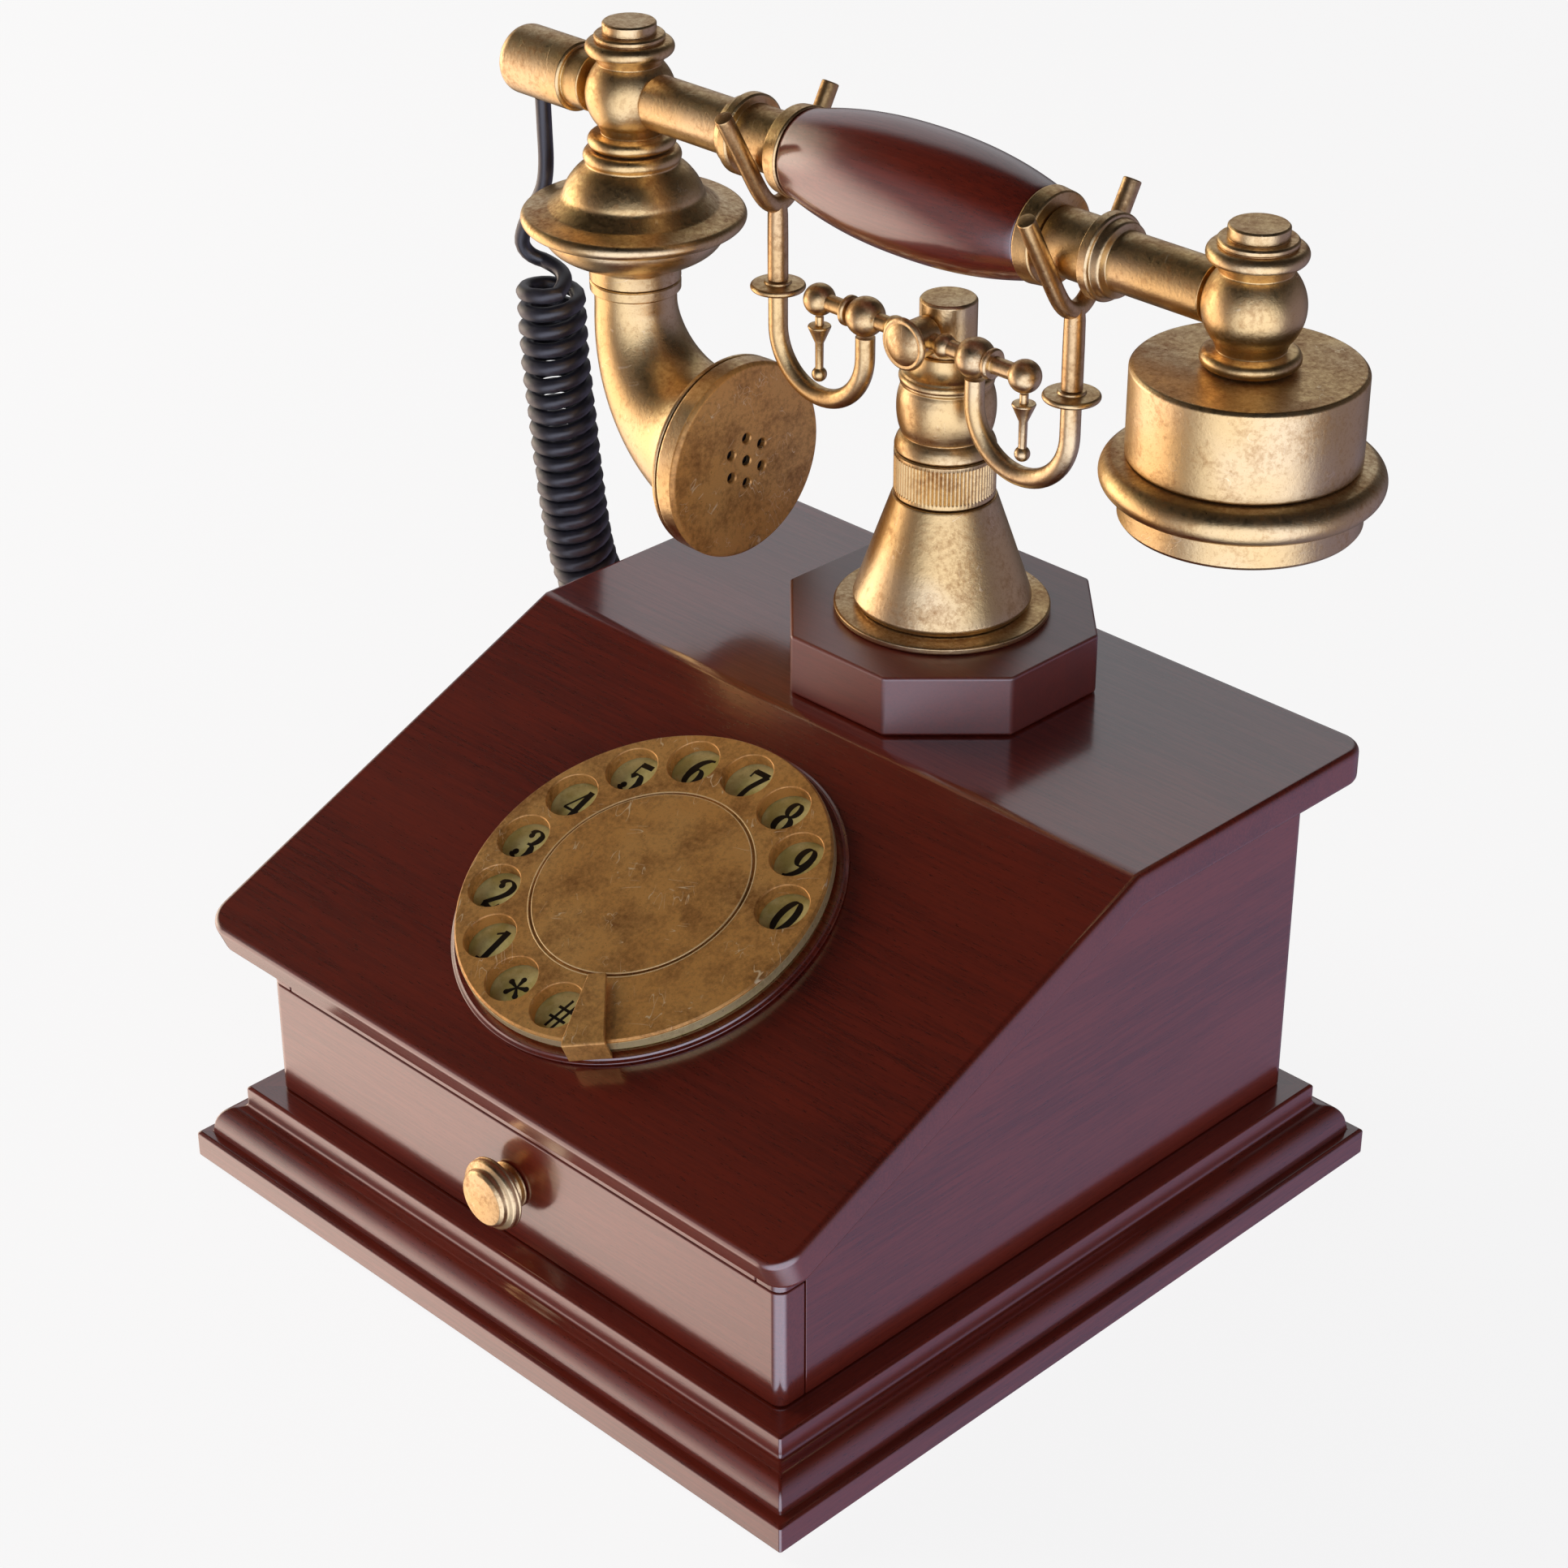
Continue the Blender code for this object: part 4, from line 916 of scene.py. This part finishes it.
def make_drawer():
    floor, back_of_front = PLINTH_TOP + GAP, -BODY_HALF + 7.5
    bm = bmesh.new()
    box(bm, (-BODY_HALF, -BODY_HALF, floor), (BODY_HALF, back_of_front, DRAWER_TOP))

    def outer_corner(middle, way):
        return abs(way.z) > 0.9 and middle.y < -BODY_HALF + 0.1

    soften(bm, 2.8, 6, outer_corner)
    soften(bm, 0.45, 3)
    piece("drawer_front", bm, WOOD[X], "drawer", "mahogany")
    bm = bmesh.new()
    tray_front, base = back_of_front + GAP, floor + 2.4
    box(bm, (-TRAY_HALF, tray_front, base), (TRAY_HALF, TRAY_BACK, TRAY_TOP), 0.5)
    tray = finished("drawer_tray_look", bm, WOOD[Y])
    hollow = bmesh.new()
    inside = TRAY_HALF - TRAY_WALL
    box(hollow, (-inside, tray_front + TRAY_WALL, base + TRAY_WALL), (inside, TRAY_BACK - TRAY_WALL, 60.0), 0.8)
    cut(tray, hollow)
    fit(tray, "drawer", "mahogany", "drawer_tray")
    knob = [(0, .3), (5.6, .3), (5.7, .8), (4.7, 1.2), (4.4, 1.9), (3.4, 2.5), (3.3, 3.6), (8.4, 4.3), (8.8, 4.8),
            (8.4, 5.2), (8.7, 5.9), (8.3, 6.7), (7.0, 7.2), (6.9, 8.3), (6.2, 8.9), (0, 9.4)]
    turned("drawer_knob", knob, towards_front(0, -BODY_HALF, 36.8), "drawer", radius=0.6, sides=72)


make_plinth()
make_cabinet()
make_lid()
make_pedestal()
make_drawer()


# -------------------- dial

DIAL_PLATE_TOP, DIAL_WHEEL_LOW, DIAL_WHEEL_TOP = 2.1, 2.45, 5.7
SEAM_INNER, SEAM_OUTER = 25.2, 26.6  # radii of the groove round the centre disc
HOLE_RADIUS, HOLE_CIRCLE, LIP = 6.15, 35.9, 0.45
FIRST_HOLE, HOLE_STEP = -78.2, -24.0
CHARACTERS = "#*1234567890"
CHARACTER_HEIGHT = 9.4


def oval(x, y, wide, tall):
    angles = [radians(9 * k) for k in range(41)]
    return [(x + wide * cos(a), y + tall * sin(a)) for a in angles]


def bar(width, *line):
    return "bar", list(line), width


def curve(kind, width, *points):
    return kind, curve_through(points, 8), width


def dot(x, y, radius):
    return "dot", [(x, y)], radius


def star():
    """Five petals, each with a round tip."""
    strokes = []
    for k in range(5):
        angle = radians(90 + 72 * k)
        tip = (0.30 + 0.26 * cos(angle), 0.50 + 0.26 * sin(angle))
        strokes += [("petal", [(0.30, 0.50), tip], 0.13), dot(*tip, 0.075)]
    return strokes


# Each character's strokes (kind, line, width), in a box about 0.6 wide and 1 tall
GLYPHS = {
    "0": [("pen", oval(0.30, 0.50, 0.19, 0.455), 0.19)],
    "1": [bar(0.18, (0.32, 0.03), (0.32, 0.98)), bar(0.06, (0.09, 0.78), (0.34, 0.96)),
          bar(0.05, (0.10, 0.025), (0.54, 0.025))],
    "2": [dot(0.15, 0.75, 0.085),
          curve("pen", 0.18, (0.09, 0.78), (0.13, 0.90), (0.29, 0.965), (0.45, 0.88), (0.48, 0.70), (0.39, 0.50),
                (0.24, 0.31), (0.10, 0.13)),
          curve("bar", 0.13, (0.08, 0.09), (0.20, 0.115), (0.34, 0.08), (0.46, 0.10), (0.55, 0.27))],
    "3": [dot(0.15, 0.78, 0.08), dot(0.14, 0.20, 0.09),
          curve("pen", 0.17, (0.10, 0.82), (0.17, 0.93), (0.30, 0.965), (0.43, 0.88), (0.44, 0.72), (0.36, 0.58),
                (0.24, 0.53)),
          curve("pen", 0.20, (0.24, 0.53), (0.40, 0.50), (0.48, 0.30), (0.43, 0.11), (0.28, 0.035), (0.14, 0.08),
                (0.08, 0.18))],
    "4": [bar(0.055, (0.40, 0.97), (0.05, 0.31)), bar(0.07, (0.04, 0.305), (0.58, 0.305)),
          bar(0.17, (0.41, 0.02), (0.41, 0.98)), bar(0.05, (0.25, 0.025), (0.56, 0.025))],
    "5": [bar(0.15, (0.13, 0.915), (0.49, 0.93)), bar(0.05, (0.145, 0.93), (0.115, 0.52)), dot(0.14, 0.20, 0.09),
          curve("pen", 0.20, (0.12, 0.50), (0.24, 0.61), (0.38, 0.58), (0.475, 0.36), (0.43, 0.12), (0.28, 0.035),
                (0.14, 0.08), (0.08, 0.18))],
    "6": [("pen", oval(0.31, 0.30, 0.165, 0.265), 0.18),
          curve("pen", 0.19, (0.50, 0.955), (0.36, 0.90), (0.22, 0.74), (0.145, 0.52), (0.14, 0.32))],
    "7": [bar(0.15, (0.09, 0.90), (0.55, 0.90)), bar(0.05, (0.085, 0.93), (0.075, 0.70)),
          curve("bar", 0.15, (0.53, 0.90), (0.42, 0.68), (0.31, 0.42), (0.28, 0.22), (0.28, 0.02))],
    "8": [("pen", oval(0.30, 0.745, 0.145, 0.21), 0.16), ("pen", oval(0.30, 0.275, 0.185, 0.235), 0.19)],
    "*": star(),
    "#": [bar(0.075, (0.15, 0.06), (0.27, 0.94)), bar(0.075, (0.35, 0.06), (0.47, 0.94)),
          bar(0.075, (0.03, 0.35), (0.55, 0.35)), bar(0.075, (0.07, 0.65), (0.59, 0.65))],
}
# A nine is a six turned round
GLYPHS["9"] = [(kind, [(0.60 - x, 1.0 - y) for x, y in line], width) for kind, line, width in GLYPHS["6"]]
HAIRLINE = 0.022  # half the width of a pen stroke where it runs across


def stroke_mesh(bm, place, kind, line, width, low, high):
    """One stroke as a thin raised ribbon. A pen stroke is wide where it runs up or down the character."""
    if kind == "dot":
        (x, y), sides = line[0], 20
        angles = [2 * pi * k / sides for k in range(sides)]
        ring = [(x + width * cos(a), y + width * sin(a)) for a in angles]
        tops = [bm.verts.new(place @ Vector((x, y, high))) for x, y in ring]
        feet = [bm.verts.new(place @ Vector((x, y, low))) for x, y in ring]
        capped(bm, [tops, feet])
        return
    points = [Vector(p) for p in line]
    loop = (points[0] - points[-1]).length < 1e-4 and len(points) > 3
    if loop:
        points.pop()
    sections = []
    for i, point in enumerate(points):
        if loop:
            way = points[(i + 1) % len(points)] - points[i - 1]
        else:
            way = points[min(i + 1, len(points) - 1)] - points[max(i - 1, 0)]
        way.normalize()
        half = width / 2
        if kind == "pen":
            half = HAIRLINE + (width / 2 - HAIRLINE) * abs(way.y) ** 1.5
        elif kind == "petal":
            half = width / 2 * (0.35 + 0.65 * i / (len(points) - 1))
        across = Vector((-way.y, way.x)) * half
        sections.append([bm.verts.new(place @ Vector((*spot, z)))
                         for spot, z in ((point + across, low), (point + across, high),
                                         (point - across, high), (point - across, low))])
    if loop:
        loft(bm, sections, closed=True)
    else:
        capped(bm, sections)


def on_hole_circle(hole):
    return on_circle(HOLE_CIRCLE, radians(FIRST_HOLE + HOLE_STEP * hole))


def make_characters():
    """Each stroke lies a hair above the one before, so that no two tops share a plane."""
    bm = bmesh.new()
    scale = CHARACTER_HEIGHT
    for hole, mark in enumerate(CHARACTERS):
        x, y = on_hole_circle(hole)
        corner = at(x - 0.31 * scale, y - 0.5 * scale)
        place = dial_place() @ corner @ Matrix.Diagonal((scale, scale, 1.0, 1.0))
        for layer, (kind, line, width) in enumerate(GLYPHS[mark]):
            low, high = DIAL_PLATE_TOP - 0.15, DIAL_PLATE_TOP + 0.03 + 0.006 * layer
            stroke_mesh(bm, place, kind, line, width, low, high)
    fit(finished("dial_characters", bm, INK, weighted=False), "case", "number_plate_paint")


def make_dial():
    place, bore = dial_place(), 3.3
    bezel = [(bore, GAP), (46.6, GAP), (46.6, 0.8), (45.9, 1.05), (45.6, 1.5), (bore, 1.5)]
    turned("dial_bezel", bezel, place, "case", WOOD[X], "mahogany", 160, 0.25)
    plate = [(bore, 1.6), (43.4, 1.6), (43.4, DIAL_PLATE_TOP), (bore, DIAL_PLATE_TOP)]
    turned("number_plate", plate, place, "case", KHAKI, "number_plate_paint", 128, 0.2)
    make_characters()
    low, top = DIAL_WHEEL_LOW, DIAL_WHEEL_TOP
    bm = bmesh.new()
    wheel = [(0, low), (43.9, low), (44.2, low + 0.3), (44.2, top - 0.5), (43.75, top)]
    wheel += [(SEAM_OUTER, top), (SEAM_OUTER, top - 0.6), (SEAM_INNER, top - 0.6), (SEAM_INNER, top - 0.05),
              (0, top - 0.05)]
    lathe(bm, fillet(wheel, 0.25), place, 160)
    finger_wheel = finished("finger_wheel_look", bm, BRONZE, crease=30.0)
    holes = bmesh.new()
    for number in range(len(CHARACTERS)):
        spot = place @ at(*on_hole_circle(number))
        hole = [(0, low - 2), (HOLE_RADIUS + 0.05, low - 2), (HOLE_RADIUS, low + 0.4)]
        for a in (0, 0.4, 0.8, 1.15):
            hole.append((HOLE_RADIUS + LIP * (1 - cos(a)), top - LIP + LIP * sin(a)))
        lathe(holes, hole + [(HOLE_RADIUS + 0.5, top + 1), (0, top + 1)], spot, 64)
    cut(finger_wheel, holes, 30.0)
    fit(finger_wheel, "dial", "dial_brass", "finger_wheel")
    disc = [(0, top - 0.03), (25.75, top - 0.03), (25.75, top + 0.08), (25.6, top + 0.2), (0, top + 0.2)]
    turned("dial_centre_disc", disc, place, "dial", BRONZE, "dial_brass", 128, 0.15)
    # Beads on both sides of the seam, in the pale edge brass: painted highlight along the seam's edges.
    for word, radius, middle in (("inner", 25.64, top + 0.02), ("outer", 26.62, top - 0.14)):
        bm = bmesh.new()
        lathe(bm, arc(radius, middle, 0.19, -180, 180, 20)[:-1], place, 160)
        fit(finished(f"dial_seam_edge_{word}", bm, HIGHLIGHT_EDGE_BRASS, weighted=False), "dial", "dial_brass")
    # A thin shell over the wheel's side in the paler rim metal: painted sheen where the side faces the light.
    band = [(43.7, low + 0.4), (44.32, low + 0.4), (44.32, top - 0.8), (43.7, top - 0.8)]
    bm = bmesh.new()
    lathe(bm, fillet(band, 0.1), place, 160)
    fit(finished("wheel_rim_sheen_band", bm, SHEEN_RIM_BRASS), "dial", "dial_brass")
    make_finger_stop(place)


def make_finger_stop(place):
    """A bent strap from the case over the wheel's edge, narrower towards its tip."""
    strap = [(0.0, 7.7), (0.4, 7.0), (18.2, 6.6), (18.2, 1.8), (19.3, 1.8), (19.3, 7.0), (18.7, 7.6), (17.4, 7.9)]
    turn = place @ at(11.0, -24.8) @ Matrix.Rotation(radians(-55.4), 4, "Z")
    bm = bmesh.new()
    rings = []
    for side in (-1, 1):
        rings.append([bm.verts.new(turn @ Vector((reach, side * (2.1 + 2.6 * reach / 17.0), height)))
                      for reach, height in strap])
    capped(bm, rings)
    soften(bm, 0.22, 3)
    piece("finger_stop", bm, BRONZE, "case", "aged_brass")


make_dial()


# -------------------- column

def make_column():
    flange = [(ROD_BORE, 131.3), (25.0, 131.3), (25.4, 131.7), (25.4, 132.7), (25.0, 133.0), (ROD_BORE, 133.0)]
    turned("column_flange", flange, COLUMN, "case", sides=128)
    cone = [(18.6, 133.3), (19.9, 133.3)] + arc(19.4, 134.9, 1.5, -70, 19, 8) + [(16.2, 149.0)]
    cone += [(12.4, 160.0), (12.1, 160.7), (ROD_BORE, 160.7), (ROD_BORE, 157.5), (9.0, 157.5)]
    turned("column_cone", cone, COLUMN, "case", sides=128)
    flutes = 76
    ring = [(ROD_BORE, 161.0), (11.5, 161.0), (11.85, 161.35), (11.85, 162.2), (11.83, 162.5), (11.83, 170.5),
            (11.85, 170.8), (11.85, 171.6), (11.5, 171.9), (ROD_BORE, 171.9)]

    def fluted(angle, height):
        if not 162.4 < height < 170.6:
            return 1.0
        return 1.0 - 0.034 * (1 - abs(sin(flutes * angle / 2)) ** 0.8)

    bm = bmesh.new()
    lathe(bm, ring, COLUMN, flutes * 6, fluted)
    piece("knurled_ring", bm, BRASS, "case", "aged_brass", crease=40.0)
    barrel = [(ROD_BORE, 172.2), (11.5, 172.2)] + curve_through([(11.8, 172.6), (11.75, 173.3), (11.3, 174.6),
                                                                 (10.6, 175.7)], 4)
    barrel += [(10.1, 176.1)] + curve_through([(10.4, 176.4), (11.1, 178.8), (11.45, 181.8), (11.3, 184.9),
                                               (10.7, 187.4)], 6)
    barrel += [(10.3, 188.1), (10.8, 188.6)] + arc(9.9, 189.8, 1.15, -38, 60, 8)
    barrel += curve_through([(10.2, 191.3), (9.2, 192.0), (8.3, 193.6), (7.9, 196.0)], 4)
    barrel += [(6.9, 196.0), (6.9, 176.0), (ROD_BORE, 176.0)]
    turned("column_barrel", barrel, COLUMN, "case", sides=112)


make_column()


# -------------------- cradle

CROSSBAR_Y, CROSSBAR_Z = 44.5, 201.7
ARM_INNER, ARM_OUTER, ARM_BEND_Z = 16.7, 44.6, 191.8
PENDANT_X = 31.2


def ball(middle, radius, rod, steps=14):
    """The outline of a ball on a thin rod."""
    reach = degrees(acos(rod / radius))
    return arc(0, middle, radius, -reach, reach, steps)


def make_cradle():
    plunger = [(0, 99.0), (2.5, 99.0), (2.5, 177.0), (6.6, 177.0), (6.6, 208.0), (6.1, 208.6), (0, 208.6)]
    turned("plunger", plunger, COLUMN, "cradle", radius=0.6)
    tee = [(0, 0), (4.5, 0), (4.5, 6.6), (5.6, 6.7)] + arc(5.35, 7.6, 0.85, -70, 80, 8)
    tee += [(4.9, 8.35), (4.3, 8.9), (2.4, 9.6), (0, 9.8)]
    turned("tee_stub", tee, towards_front(0, 47.0, CROSSBAR_Z - 0.2), "cradle", sides=72)
    rod = 2.0
    half = ball(7.5, 2.8, rod) + ball(ARM_INNER, 4.65, rod, 18)
    half += [(rod, 20.95), (3.2, 20.95), (3.6, 21.35), (3.6, 22.1), (3.2, 22.5), (rod, 22.5)]
    half += arc(0, PENDANT_X, 3.8, degrees(-acos(rod / 3.8)), 90, 18)[:-1] + [(0, PENDANT_X + 3.8)]
    outline = [(r, -x) for r, x in reversed(half)] + half
    turned("crossbar", outline, along_x(0, CROSSBAR_Y, CROSSBAR_Z), "cradle", sides=56, radius=0.2)
    for side, word in ((-1, "left"), (1, "right")):
        make_pendant(word, side * PENDANT_X)
        make_arm(word, side)
        make_fork(word, side * ARM_OUTER)


def make_pendant(word, x):
    outline = [(0, 181.5)] + arc(0, 183.3, 1.8, -80, 58, 12) + [(0.95, 184.9), (1.0, 191.0), (2.6, 194.7)]
    outline += [(2.75, 195.05), (2.6, 195.4), (1.0, 195.5), (1.0, 197.6), (0, 197.6)]
    turned(f"pendant_{word}", outline, at(x, CROSSBAR_Y), "cradle", sides=40, radius=0.15)


def make_arm(word, side):
    """The J-shaped arm from the crossbar's ball, round and up to the flange."""
    middle, bend = (ARM_INNER + ARM_OUTER) / 2, (ARM_OUTER - ARM_INNER) / 2
    path = [(side * ARM_INNER, CROSSBAR_Y, CROSSBAR_Z - 4.95)]
    for step in range(41):
        angle = pi * step / 40
        path.append((side * (middle - bend * cos(angle)), CROSSBAR_Y, ARM_BEND_Z - bend * sin(angle)))
    path.append((side * ARM_OUTER, CROSSBAR_Y, 199.6))
    bm = bmesh.new()
    tube(bm, path, 2.3, 32)
    piece(f"arm_{word}", bm, BRASS, "cradle", "aged_brass", weighted=False)
    flange = [(0, 199.9), (2.9, 199.9), (3.0, 200.4), (5.7, 200.5)] + arc(5.7, 201.2, 0.78, -70, 70, 8)
    flange += [(5.6, 201.95), (3.2, 202.1), (3.1, 202.7), (0, 202.7)]
    turned(f"arm_flange_{word}", flange, at(side * ARM_OUTER, CROSSBAR_Y), "cradle", sides=72, radius=0.25)


def make_fork(word, x):
    """A Y of round bar: both prongs are one bar, which dips to the post in a smooth bend."""
    y, low = CROSSBAR_Y, 221.2
    a, b, c, d = (Vector(p) for p in ((x, y - 7.9, 229.2), (x, y - 5.2, 224.3), (x, y - 3.2, low), (x, y, low)))
    front_arm = [Vector((x, y - 17.1, 245.7)), Vector((x, y - 12.5, 237.5))]
    for step in range(17):
        t = step / 16
        u = 1 - t
        front_arm.append(a * u**3 + b * 3 * u * u * t + c * 3 * u * t * t + d * t**3)
    back_arm = [Vector((x, 2 * y - p.y, p.z)) for p in reversed(front_arm[:-1])]
    bm = bmesh.new()
    tube(bm, front_arm + back_arm, 2.05, 32, soft_end=0.35)
    tube(bm, [(x, y, 203.0), (x, y, 213.0), (x, y, 218.6), (x, y, low + 0.4)], [2.4, 2.4, 2.35, 2.1], 32)
    piece(f"fork_{word}", bm, FORK_BRASS, "cradle", "aged_brass", weighted=False)


make_cradle()


# -------------------- handset

HANDSET_Y, HANDSET_Z = 44.5, 235.5
MOUTH_X, EAR_X = -93.2, 91.4
BALL_RADIUS = 10.8
MOUTH_FACE_X = -55.3
MOUTH_DISC_Z = 153.5
HORN_BEND, HORN_THROAT, HORN_FLARE = 29.2, 10.0, 9.2
SPEECH_RING = 5.8


def mirrored_along_x(side):
    """From the handset's middle outwards: to the left for -1, to the right for 1."""
    return at(0, HANDSET_Y, HANDSET_Z) @ Matrix.Rotation(radians(90 * side), 4, "Y")


def make_handset():
    cap = [(0, 0)] + arc(5.0, 3.4, 3.4, -90, 0) + [(8.4, 22.0), (7.9, 22.5), (7.2, 22.5), (7.2, 28.0), (0, 28.0)]
    turned("handset_end_cap", cap, along_x(-132.4, HANDSET_Y, HANDSET_Z), "handset", radius=0.5)
    for word, x in (("left", MOUTH_X), ("right", EAR_X)):
        reach = degrees(acos(7.6 / BALL_RADIUS))
        knot = [(0, -12.6), (9.4, -12.6)] + arc(8.9, -11.0, 1.65, -75, 90) + [(7.2, -9.2)]
        knot += arc(0, 0, BALL_RADIUS, -reach + 4, reach, 26) + arc(8.8, 11.4, 1.75, -90, 90)
        knot += [(8.0, 13.2), (8.4, 13.5), (8.4, 14.3), (8.0, 14.7)]
        knot += [(6.2, 14.7), (6.4, 15.0), (6.4, 17.1), (6.0, 17.5), (0, 17.5)]
        turned(f"handset_ball_{word}", knot, at(x, HANDSET_Y, HANDSET_Z), "handset", radius=0.3)
    for word, side, reach in (("left", -1, -MOUTH_X), ("right", 1, EAR_X)):
        end = reach - BALL_RADIUS - GAP
        neck = [(0, 39.8), (7.4, 39.8), (7.4, 51.9), (9.1, 51.9), (9.6, 52.3), (9.6, 54.4), (9.2, 54.8),
                (8.6, 54.9)]
        neck += curve_through([(8.5, 55.6), (8.2, 56.9), (7.4, 57.3)], 4)
        neck += [(6.6, 57.6), (6.6, end + 1.5), (0, end + 1.5)]
        turned(f"handset_tube_{word}", neck, mirrored_along_x(side), "handset", radius=0.3)
        ferrule = [(0, 35.1), (10.5, 35.1), (10.8, 35.5), (10.4, 39.2), (10.0, 39.5), (0, 39.5)]
        turned(f"grip_ferrule_{word}", ferrule, mirrored_along_x(side), "handset", radius=0.4)
    spindle = [(10.4 + 4.3 * (1 - abs(k / 24) ** 2.2), 34.5 * k / 24) for k in range(-24, 25)]
    grip = [(0, -34.8), (10.2, -34.8)] + spindle + [(10.2, 34.8), (0, 34.8)]
    turned("grip", grip, along_x(0, HANDSET_Y, HANDSET_Z), "handset", WOOD[X], "mahogany", rounded=False)
    make_mouthpiece()
    make_earpiece()


def make_mouthpiece():
    place = at(MOUTH_X, HANDSET_Y)
    bell = [(0, 190.1), (11.1, 190.1), (11.1, 193.2)]
    bell += curve_through([(11.3, 193.9), (12.4, 194.5), (16.0, 195.9), (19.8, 198.2), (22.0, 201.0),
                           (22.6, 203.2)], 5)
    bell += arc(25.3, 205.6, 1.75, -75, 75) + [(25.0, 207.4)]
    bell += curve_through([(22.8, 207.7), (20.9, 208.2), (20.2, 208.6)], 3) + [(17.6, 210.6), (17.0, 211.2)]
    bell += curve_through([(16.8, 211.7), (16.4, 212.9), (15.4, 214.7), (13.6, 216.9), (11.6, 218.5)], 5)
    bell += [(11.2, 218.9)] + arc(9.9, 220.7, 1.85, -50, 80) + [(10.0, 222.5), (0, 222.5)]
    turned("mouthpiece_bell", bell, place, "handset", sides=128, radius=0.3)
    back, top = MOUTH_FACE_X - 6.3, 183.7
    bm = bmesh.new()
    collar = [(0, 186.9), (10.6, 186.9), (11.05, 187.3), (11.1, 189.4), (10.8, 189.8), (0, 189.8)]
    lathe(bm, fillet(collar, 0.25), place, 96)
    path, radii = [Vector((MOUTH_X, HANDSET_Y, z)) for z in (188.0, 186.0, top)], [HORN_THROAT] * 3
    steps = 40
    for step in range(1, steps + 1):
        angle = radians(88) * step / steps
        x, z = MOUTH_X + HORN_BEND * (1 - cos(angle)), top - HORN_BEND * sin(angle)
        path.append(Vector((x, HANDSET_Y, z)))
        radii.append(HORN_THROAT + HORN_FLARE * (step / steps) ** 1.34)
    path.append(Vector((back - 0.7, HANDSET_Y, path[-1].z)))
    radii.append(20.0)
    tube(bm, path, radii, 96)
    plate = [(0, -1.4), (23.9, -1.4), (24.4, -0.9), (24.4, 0), (0, 0)]
    lathe(bm, fillet(plate, 0.3), along_x(back, HANDSET_Y, MOUTH_DISC_Z), 128)
    piece("mouthpiece_horn", bm, BRASS, "handset", "aged_brass")
    cup = [(0, -1.5), (22.6, -1.5), (22.6, -6.0), (24.5, -6.0), (24.5, -0.9), (23.7, 0), (0, 0)]
    bm = bmesh.new()
    face = along_x(MOUTH_FACE_X, HANDSET_Y, MOUTH_DISC_Z)
    lathe(bm, fillet(cup, 0.9, 5), face, 128)
    disc = finished("mouthpiece_disc_look", bm, BRONZE, crease=30.0)
    holes = bmesh.new()
    spots = [(0, 0)] + [on_circle(SPEECH_RING, radians(60 * k)) for k in range(6)]
    speech_hole = [(0, -4), (1.3, -4), (1.3, -0.35), (1.45, -0.12), (1.75, 0.1), (2.0, 1.0), (0, 1.0)]
    for spot in spots:
        lathe(holes, speech_hole, face @ at(*spot), 24)
    cut(disc, holes, 30.0)
    disc.data.materials.append(BRASS)
    for polygon in disc.data.polygons:
        polygon.material_index = 0 if polygon.center.x > (MOUTH_FACE_X - 1.2) * MM else 1
    fit(disc, "handset", "aged_brass", "mouthpiece_disc")


def make_earpiece():
    place = at(EAR_X, HANDSET_Y)
    cup = [(0, 220.3), (22.8, 220.3), (22.8, 202.4), (24.65, 202.4), (24.65, 221.7), (23.9, 222.5), (0, 222.5)]
    turned("ear_cup", cup, place, "handset", sides=144, radius=0.8)
    cover = [(0, 192.4)] + curve_through([(4, 192.3), (10, 191.4), (18, 189.4), (22.6, 188.4)], 4)
    cover += [(23.4, 188.3), (25.0, 188.3), (25.6, 189.1), (25.6, 194.4)] + arc(26.2, 198.3, 3.7, -75, 75, 20)
    cover += [(25.2, 202.1), (22.6, 202.1), (22.6, 194.2), (0, 194.2)]
    turned("ear_cover", cover, place, "handset", sides=144, radius=0.4)


make_handset()


# -------------------- cord grommet, line jack, kept CAD pieces


def make_fittings():
    grommet = [(0, 0), (4.6, 0), (4.6, 1.6), (3.4, 2.1), (3.1, 3.4), (3.3, 3.8), (3.0, 5.2), (3.15, 5.6), (2.8, 7.0),
               (2.9, 7.4), (2.6, 9.0), (0, 9.0)]
    place = at(-85.1, 74.5, 46.0) @ Matrix.Rotation(radians(-90), 4, "Y")
    turned("cord_grommet", grommet, place, "case", BLACK, "black_plastic", 48, 0.3)
    bm = bmesh.new()
    box(bm, (38.0, 72.0, 30.0), (54.0, 88.4, 44.0), 0.5)
    jack = finished("line_jack_look", bm, BLACK)
    for near, far in (((41.0, 75.9, 33.6), (51.0, 95.0, 40.4)), ((44.0, 75.8, 31.6), (48.0, 95.0, 34.2))):
        socket = bmesh.new()
        box(socket, near, far)
        cut(jack, socket)
    fit(jack, "case", "black_plastic", "line_jack")


def keep_cad():
    """CAD nodes whose shape is right stay, with materials of the same quality."""
    kept = {
        "felt_pad": FELT, "base_board": WOOD[X], "dust_board": WOOD[X], "drawer_runner_left": WOOD[Y],
        "drawer_runner_right": WOOD[Y], "dial_mechanism": STEEL, "dial_shaft": STEEL, "hook_switch": BLACK,
        "circuit_board": GREEN, "ringer": STEEL, "transmitter_capsule": BLACK, "receiver_capsule": BLACK,
    }
    for node, material in kept.items():
        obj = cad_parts[node]
        if not obj.material_slots:
            obj.data.materials.append(material)
        for slot in obj.material_slots:
            slot.material = material


make_fittings()
keep_cad()

boxes = {"cad": cad_box, "visual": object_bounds()}
{name: [list(corner) for corner in pair] for name, pair in boxes.items()}
